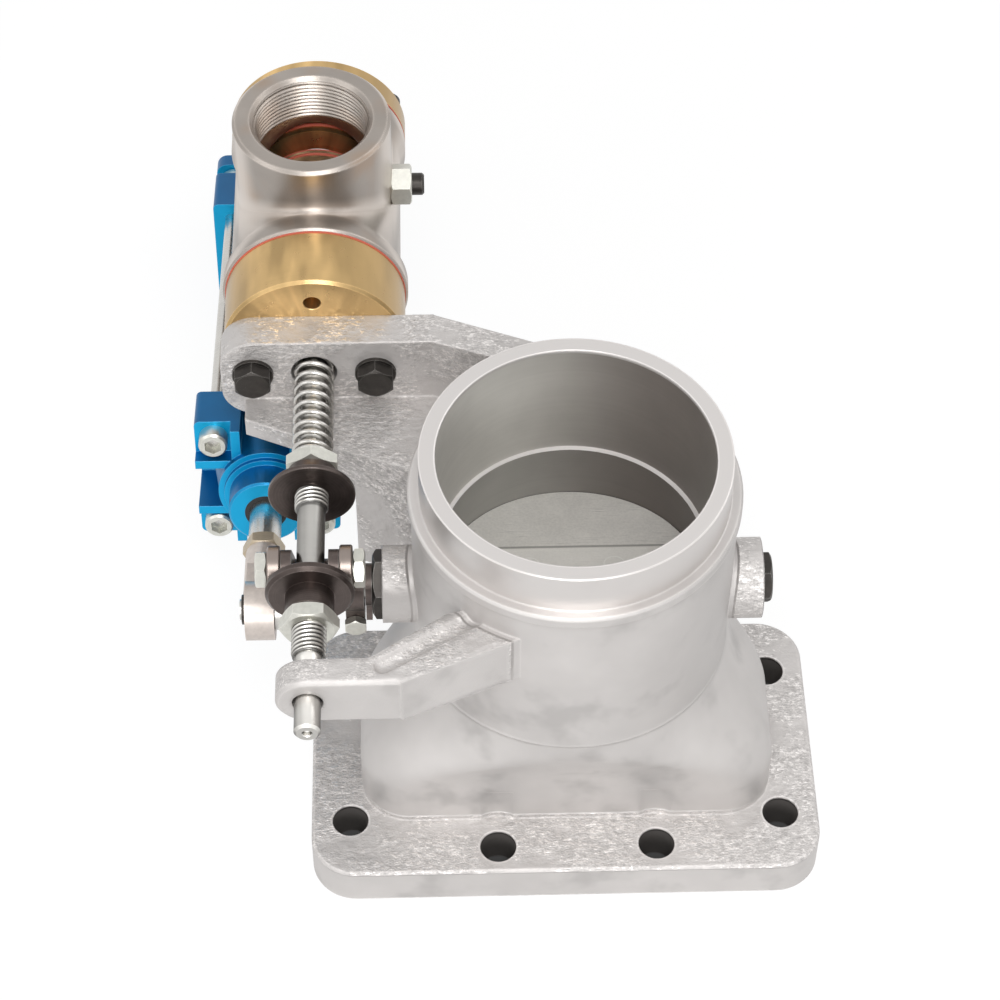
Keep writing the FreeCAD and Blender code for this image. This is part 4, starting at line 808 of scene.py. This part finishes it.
class VALVE_OT_stem(Operator):
    """Turns the valve stem with its two threads"""
    bl_idname = "valve.stem"
    bl_label = "Valve stem"

    def execute(self, context):
        sizes = context.scene.valve_sizes
        low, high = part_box("valve_stem")
        tip, end = low.y, high.y
        major, minor = (high.x - low.x) / 2, sizes.stem_minor
        nut_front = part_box("front_nut")[0].y
        disc_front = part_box("front_disc")[1].y
        disc_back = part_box("rear_disc")[0].y
        nut_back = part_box("rear_nut")[1].y
        front, shank, waist, tail = 6.0 * MM, 6.3 * MM, 6.5 * MM, 5.0 * MM
        drill, under = 2.0 * MM, 2.0 * MM
        thread_front = nut_front - 15.5 * MM
        thread_back = disc_back - 9.0 * MM
        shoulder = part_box("valve_piston")[0].y + 9.0 * MM

        def threaded(start, stop, turn, fade_in):
            rows = thread_rows(start, stop, sizes.stem_pitch, turn)
            return [(place, minor + (major - minor) * share
                     * faded(place, start, stop, fade_in, 0.1 * MM)) for place, share in rows]

        def column(turn):
            return [(tip + 3.0 * MM, 0.0), (tip + 2.0 * MM, 0.8 * drill), (tip + 0.4 * MM, drill),
                    (tip, drill + 0.5 * MM), (tip, front - 1.2 * MM), (tip + 1.2 * MM, front),
                    (thread_front - 3.0 * MM, front), (thread_front - 2.4 * MM, shank),
                    (thread_front, shank),
                    *threaded(thread_front, nut_front + under, turn, 1.5 * MM),
                    (nut_front + under, major), (disc_front - 0.5 * MM, major),
                    (disc_front + 1.2 * MM, waist), (thread_back - 1.8 * MM, waist),
                    (thread_back, minor),
                    *threaded(thread_back, disc_back + under, turn, 1.0 * MM),
                    (disc_back + under, major), (nut_back, major), (nut_back, front),
                    (shoulder, front), (shoulder, tail), (end - 1.0 * MM, tail),
                    (end, tail - 1.0 * MM), (end, 0.0)]

        made = turned_mesh("threaded_stem", ON_STEM, (0, 1, 0), column, 64,
                           finish_named("bright stem"))
        rides(made, "stem", "bright_steel", "valve_stem")
        return {"FINISHED"}


class VALVE_OT_threads(Operator):
    """Cuts the threads in the tee, the adapter and the air ports"""
    bl_idname = "valve.threads"
    bl_label = "Port threads"

    def execute(self, context):
        sizes = context.scene.valve_sizes
        pipe = (sizes.pipe_pitch, sizes.pipe_depth, 96)
        small = (sizes.port_pitch, sizes.port_depth, 40)
        ports = [("blowdown_inlet", "casting", "stainless_steel", "stainless", pipe),
                 ("blowdown_outlet", "casting", "brass", "brass", pipe),
                 ("front_air_port", "cylinder", "blue_aluminium", "blue", small),
                 ("rear_air_port", "cylinder", "blue_aluminium", "blue", small)]
        for mount_name, body, slot, finish, (pitch, depth, segments) in ports:
            mount = mount_named(mount_name)
            start, stop = 0.3 * MM, mount["dims"]["length_mm"] * MM - 0.6 * MM
            inside, outside = ((mount["dims"]["r_mm"] + step) * MM for step in (-0.04, 0.4))

            fade = 0.8 * pitch

            def column(turn):
                rows = [(place, inside - depth * share * faded(place, start, stop, fade, fade))
                        for place, share in thread_rows(start, stop, pitch, turn)]
                return [(start, outside)] + rows + [(stop, outside)]

            made = turned_mesh(mount_name + "_thread", mount["pos_m"], -Vector(mount["axis"]),
                               column, segments, finish_named(finish), closed=True)
            rides(made, body, slot)
        return {"FINISHED"}


class VALVE_OT_spring(Operator):
    """Winds the return spring with closed ends"""
    bl_idname = "valve.spring"
    bl_label = "Return spring"

    def execute(self, context):
        sizes = context.scene.valve_sizes
        low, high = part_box("return_spring")
        wire = sizes.wire / 2
        mean = (high.x - low.x) / 2 - wire
        span = high.y - low.y - sizes.wire
        closed = 1.1
        open_span = span - 2 * closed * sizes.wire
        open_turns = round(open_span / sizes.coil_pitch)
        turns = open_turns + 2 * closed

        def place(turn):
            if turn < closed:
                return turn * sizes.wire
            if turn > turns - closed:
                return span - (turns - turn) * sizes.wire
            return closed * sizes.wire + (turn - closed) * open_span / open_turns

        steps, sides, nudge = 36, 10, 0.01
        total = round(turns * steps)
        start = Vector((STEM.x, low.y + wire, STEM.z))
        points = []
        for k in range(total + 1):
            turn = k / steps
            angle = 2 * math.pi * turn
            out = Vector((math.cos(angle), 0, math.sin(angle)))
            slope = (place(turn + nudge) - place(turn - nudge)) / (2 * nudge)
            ahead = Vector((-math.sin(angle) * 2 * math.pi * mean, slope,
                            math.cos(angle) * 2 * math.pi * mean)).normalized()
            across = ahead.cross(out)
            centre = start + out * mean + Vector((0, place(turn), 0))
            for side in range(sides):
                a = 2 * math.pi * side / sides
                points.append(centre + out * (wire * math.cos(a)) + across * (wire * math.sin(a)))
        faces = [tuple(range(sides)), tuple(total * sides + s for s in reversed(range(sides)))]
        for near in range(0, total * sides, sides):
            for side in range(sides):
                following = (side + 1) % sides
                faces.append((near + side, near + following, near + sides + following,
                              near + sides + side))
        made = object_from("spring_coils", points, faces, finish_named("bright spring"), 50.0)
        rides(made, "casting", "bright_steel", "return_spring")
        travel = joint_named("stem_slide")["range_m"][1]
        1.0 - travel / (high.y - low.y)
        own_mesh(made)
        return {"FINISHED"}


class VALVE_OT_tee(Operator):
    """Builds the tee with its chamber, so that the port shows the brass inside"""
    bl_idname = "valve.tee"
    bl_label = "Tee"

    def execute(self, context):
        port = mount_named("blowdown_inlet")
        port_at, thread = Vector(port["pos_m"]), port["dims"]["r_mm"] * MM
        low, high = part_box("tee_body")
        front, back, top = low.y, high.y, high.z
        chamfer, past = 2.0 * MM, 1.0 * MM
        thread_end = port_at.z + chamfer - port["dims"]["length_mm"] * MM
        spigot_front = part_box("bonnet")[1].y
        spigot_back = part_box("outlet_adapter")[0].y + 10.0 * MM
        run, neck = TEE_RUN_RADIUS * MM, TEE_NECK_RADIUS * MM
        rim, back_rim, rim_end, rim_foot = 46.0 * MM, 45.0 * MM, 8.0 * MM, 15.0 * MM
        bore, chamber, neck_bore = 30.0 * MM, 34.5 * MM, 33.5 * MM
        over = Vector((port_at.x, port_at.y, 0))

        def solid_of(origin, direction, rows):
            return turned_mesh("tee_shell", origin, direction, rows, 96, finish_named("stainless"))

        made = solid_of(ON_STEM, (0, 1, 0), [
            (front, 0.0), (front, back_rim), (front + past, rim), (front + rim_end, rim),
            (front + rim_foot, run), (back - rim_foot, run), (back - rim_end, back_rim),
            (back - past, back_rim), (back, back_rim - past), (back, 0.0)])
        combined(made, solid_of(over, (0, 0, 1), [
            (STEM.z, 0.0), (STEM.z, neck), (top - 1.5 * MM, neck), (top, neck - 1.5 * MM),
            (top, 0.0)]), "UNION")
        combined(made, solid_of(ON_STEM, (0, 1, 0), [
            (front - past, 0.0), (front - past, bore), (spigot_front, bore),
            (spigot_front + chamfer, chamber), (spigot_back - chamfer, chamber),
            (spigot_back, bore), (back + past, bore), (back + past, 0.0)]), "DIFFERENCE")
        combined(made, solid_of(over, (0, 0, 1), [
            (STEM.z, 0.0), (STEM.z, neck_bore), (thread_end - chamfer, neck_bore),
            (thread_end, thread), (top - chamfer, thread), (top + past, thread + chamfer + past),
            (top + past, 0.0)]), "DIFFERENCE")
        shade_smooth(made.data, 30.0)
        rides(made, "casting", "stainless_steel", "tee_body")

        rows = seal_section(spigot_back - 3.0 * MM, bore + 0.2 * MM, 1.0 * MM)
        made = turned_mesh("spigot_seal", ON_STEM, (0, 1, 0), rows, 72, finish_named("red"), True)
        rides(made, "casting", "red_seal")
        return {"FINISHED"}


class VALVE_OT_web(Operator):
    """Adds the small web where the gusset meets the shelf"""
    bl_idname = "valve.web"
    bl_label = "Shelf web"

    def execute(self, context):
        gusset = Vector((36.0, -14.5, 0.0)).normalized()
        thickness = Vector((-gusset.y, gusset.x, 0.0)) * 12.6 * MM
        corner = Vector((-103.0, 68.2, 0.0)) * MM
        # How far each corner lies along the gusset, and its height, in millimetres
        outline = [(2.0, 134.0), (-12.0, 134.0), (-10.0, 129.0), (-3.0, 123.0), (0.0, 112.0),
                   (2.0, 112.0)]
        near = [corner + (gusset * reach + Vector((0, 0, height))) * MM for reach, height in outline]
        count = len(near)
        faces = [tuple(range(count)), tuple(range(2 * count - 1, count - 1, -1))]
        faces += [(k, (k + 1) % count, (k + 1) % count + count, k + count) for k in range(count)]
        made = object_from("shelf_web", near + [p + thickness for p in near], faces,
                           finish_named("cast"))
        rides(made, "casting", "cast_aluminium")
        return {"FINISHED"}


class VALVE_OT_piston(Operator):
    """Turns the valve piston and its two red seals, as the port shows them"""
    bl_idname = "valve.piston"
    bl_label = "Valve piston"

    def execute(self, context):
        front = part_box("valve_piston")[0].y
        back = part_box("face_seal")[1].y
        hub_end, pocket_end = front + 8.0 * MM, front + 9.2 * MM
        outer, hub, bore, tail = 27.6 * MM, 18.0 * MM, 6.1 * MM, 5.1 * MM
        face = back - 2.0 * MM
        groove, groove_end = face - 3.4 * MM, face - 1.4 * MM
        band, rim = outer - 1.4 * MM, outer - 0.3 * MM
        pieces = [
            ("piston_head", "piston brass", "brass", "valve_piston",
             [(front, bore), (front, hub), (hub_end, hub), (hub_end, outer - 1.0 * MM),
              (hub_end + 1.0 * MM, outer), (groove, outer), (groove, band), (groove_end, band),
              (groove_end, outer), (face, outer), (face, tail), (pocket_end, tail),
              (pocket_end, bore)]),
            ("piston_face", "red", "red_seal", "face_seal",
             [(face, tail), (face, rim), (back - 0.6 * MM, rim), (back, rim - 0.6 * MM),
              (back, tail)]),
            ("piston_band", "red", "red_seal", "piston_ring",
             seal_section(groove + 1.0 * MM, outer - 0.2 * MM, 0.85 * MM))]
        for name, finish, slot, node, rows in pieces:
            made = turned_mesh(name, ON_STEM, (0, 1, 0), rows, 72, finish_named(finish), True)
            rides(made, "stem", slot, node)
        return {"FINISHED"}


class VALVE_OT_bonnet(Operator):
    """Turns the brass bonnet and drills its vent"""
    bl_idname = "valve.bonnet"
    bl_label = "Bonnet"

    def execute(self, context):
        sizes = context.scene.valve_sizes
        low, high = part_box("bonnet")
        front, outer = low.y, (high.x - low.x) / 2
        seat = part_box("bonnet_seal")[0].y
        chamfer, seat_chamfer, drill_chamfer = 1.4 * MM, 1.4 * MM, 0.4 * MM
        pocket, pocket_end, spigot, bore = 11.2 * MM, front + 9.0 * MM, 29.9 * MM, 6.2 * MM
        rows = [(front, outer - chamfer), (front + chamfer, outer), (seat, outer),
                (seat, spigot + seat_chamfer), (seat + seat_chamfer, spigot), (high.y, spigot),
                (high.y, bore), (pocket_end, bore), (pocket_end, pocket), (front, pocket)]
        made = turned_mesh("bonnet_cap", ON_STEM, (0, 1, 0), rows, 96, finish_named("brass"))
        vent = [(front, sizes.vent_radius + drill_chamfer), (front + drill_chamfer, sizes.vent_radius),
                (front + sizes.vent_depth, sizes.vent_radius)]
        around_vent = [2 * math.pi * k / 32 for k in range(32)]
        with edited(made.data) as work:
            rings = [[work.verts.new((STEM.x + radius * math.cos(angle), place,
                                      sizes.vent_height + radius * math.sin(angle)))
                      for angle in around_vent] for place, radius in vent]
            for first, second in zip(rings, rings[1:]):
                for k in range(len(first)):
                    work.faces.new((first[k - 1], first[k], second[k], second[k - 1]))
            work.faces.new(rings[-1])
            edges = [e for e in work.edges if e.is_boundary]
            bmesh.ops.triangle_fill(work, use_beauty=True, use_dissolve=True, edges=edges)
            bmesh.ops.recalc_face_normals(work, faces=work.faces)
        shade_smooth(made.data, 30.0)
        rides(made, "casting", "brass", "bonnet")
        return {"FINISHED"}


class VALVE_OT_studio(Operator):
    """Sets the floor, the lamps and the camera"""
    bl_idname = "valve.studio"
    bl_label = "Studio"

    def execute(self, context):
        studio = context.scene.valve_studio
        scene = context.scene
        scene.view_settings.view_transform = "Standard"
        self.floor()
        self.sky(scene, studio)
        self.lamps(studio)
        self.camera(scene, studio)
        return {"FINISHED"}

    def seen(self, board):
        """1 for what the camera sees, directly, in metal or through glass."""
        path = board.add("ShaderNodeLightPath")
        return path["Is Camera Ray"].most(path["Is Glossy Ray"]).most(path["Is Transmission Ray"])

    def floor(self):
        board = Board(bpy.data.materials.new("pale_floor"))
        grain = board.noise(0.02, 2.0, 0.5)
        glow = board.add("ShaderNodeEmission", {}, {"Color": (1, 1, 1, 1), "Strength": 1.08})[0]
        x, y, z = board.parts(board.scaled(board.position(), 1.0 / MM))
        # Painted shadow: the floor is dark under the bolt holes, where the casting shades it
        clear = near_bolt_holes(x, y).rise(HOLE_RADIUS + 0.45, HOLE_RADIUS + 0.85)
        tone = board.shaded((0.93, 0.93, 0.93), grain * 0.02 + 0.06 + clear * 0.93)
        matt = board.add("ShaderNodeBsdfDiffuse", {}, {"Color": tone})[0]
        share = self.seen(board) * (0.02 + clear * 0.80)
        both = board.add("ShaderNodeMixShader", {}, {0: share, 1: matt, 2: glow})[0]
        board.add("ShaderNodeOutputMaterial", {}, {"Surface": both})
        reach, drop = 4.0, 0.2 * MM
        corners = [(-reach, -reach, -drop), (reach, -reach, -drop), (reach, reach, -drop),
                   (-reach, reach, -drop)]
        object_from("floor", corners, [(0, 1, 2, 3)], board.owner)

    def sky(self, scene, studio):
        scene.world = bpy.data.worlds.new("even_light")
        board = Board(scene.world)
        white = (1, 1, 1, 1)
        even = board.add("ShaderNodeBackground", {}, {"Color": white, "Strength": studio.sky})[0]
        clear = board.add("ShaderNodeBackground", {}, {"Color": white, "Strength": 1.0})[0]
        both = board.add("ShaderNodeMixShader", {}, {0: self.seen(board), 1: even, 2: clear})[0]
        board.add("ShaderNodeOutputWorld", {}, {"Surface": both})

    def lamps(self, studio):
        aim = Vector((-0.03, 0.03, 0.10))
        camera = Vector(studio.place)
        places = [("key_lamp", camera + Vector((0.10, 0.10, 0.25)), 0.6, studio.key),
                  ("front_lamp", Vector((-0.25, -1.5, 0.75)), 0.6, studio.front),
                  ("left_lamp", Vector((-1.2, -0.3, 1.0)), 0.8, studio.fill),
                  ("right_lamp", Vector((1.2, 0.5, 1.2)), 0.8, studio.fill)]
        for name, place, size, power in places:
            lamp = bpy.data.lights.new(name, "AREA")
            lamp.shape = "SQUARE"
            lamp.size = size
            lamp.energy = power
            made = bpy.data.objects.new(name, lamp)
            made.location = place
            made.rotation_euler = (aim - place).to_track_quat("-Z", "Y").to_euler()
            bpy.context.scene.collection.objects.link(made)

    def camera(self, scene, studio):
        lens = bpy.data.cameras.new("camera")
        lens.sensor_width = 36.0
        lens.lens = studio.focal * lens.sensor_width
        lens.clip_start = 0.05
        lens.clip_end = 20.0
        made = bpy.data.objects.new("camera", lens)
        down, yaw, roll = studio.pitch, studio.yaw, studio.roll
        ahead = Vector((math.sin(yaw) * math.cos(down), math.cos(yaw) * math.cos(down),
                        -math.sin(down)))
        right = Vector((math.cos(yaw), -math.sin(yaw), 0))
        above = right.cross(ahead)
        turned_right = right * math.cos(roll) + above * math.sin(roll)
        turned_up = above * math.cos(roll) - right * math.sin(roll)
        axes = Matrix((turned_right, turned_up, -ahead)).transposed()
        made.matrix_world = Matrix.Translation(Vector(studio.place)) @ axes.to_4x4()
        scene.collection.objects.link(made)
        scene.camera = made


class VALVE_PT_panel(Panel):
    """Lists the pieces in the sidebar"""
    bl_idname = "VALVE_PT_panel"
    bl_label = "Blowdown valve"
    bl_space_type = "VIEW_3D"
    bl_region_type = "UI"
    bl_category = "Valve"

    def draw(self, context):
        layout = self.layout
        for operator in OPERATORS:
            layout.operator(operator.bl_idname)
        for group, title in ((context.scene.valve_sizes, "Sizes"),
                             (context.scene.valve_colours, "Colours"),
                             (context.scene.valve_studio, "Studio")):
            box = layout.box()
            box.label(text=title)
            for name in group.__annotations__:
                box.prop(group, name)


OPERATORS = [VALVE_OT_finishes, VALVE_OT_stem, VALVE_OT_threads, VALVE_OT_spring,
             VALVE_OT_tee, VALVE_OT_web, VALVE_OT_piston, VALVE_OT_bonnet, VALVE_OT_studio]
GROUPS = {"valve_colours": ValveColours, "valve_sizes": ValveSizes, "valve_studio": ValveStudio}


def register():
    for kind in [*GROUPS.values(), *OPERATORS, VALVE_PT_panel]:
        bpy.utils.register_class(kind)
    for name, group in GROUPS.items():
        setattr(bpy.types.Scene, name, PointerProperty(type=group))


def unregister():
    for name in GROUPS:
        delattr(bpy.types.Scene, name)
    for kind in reversed([*GROUPS.values(), *OPERATORS, VALVE_PT_panel]):
        bpy.utils.unregister_class(kind)


def main():
    register()
    bpy.ops.valve.finishes()
    bpy.ops.valve.stem()
    bpy.ops.valve.threads()
    bpy.ops.valve.spring()
    bpy.ops.valve.tee()
    bpy.ops.valve.web()
    bpy.ops.valve.piston()
    bpy.ops.valve.bonnet()
    bpy.ops.valve.studio()


if __name__ == "__main__":
    main()
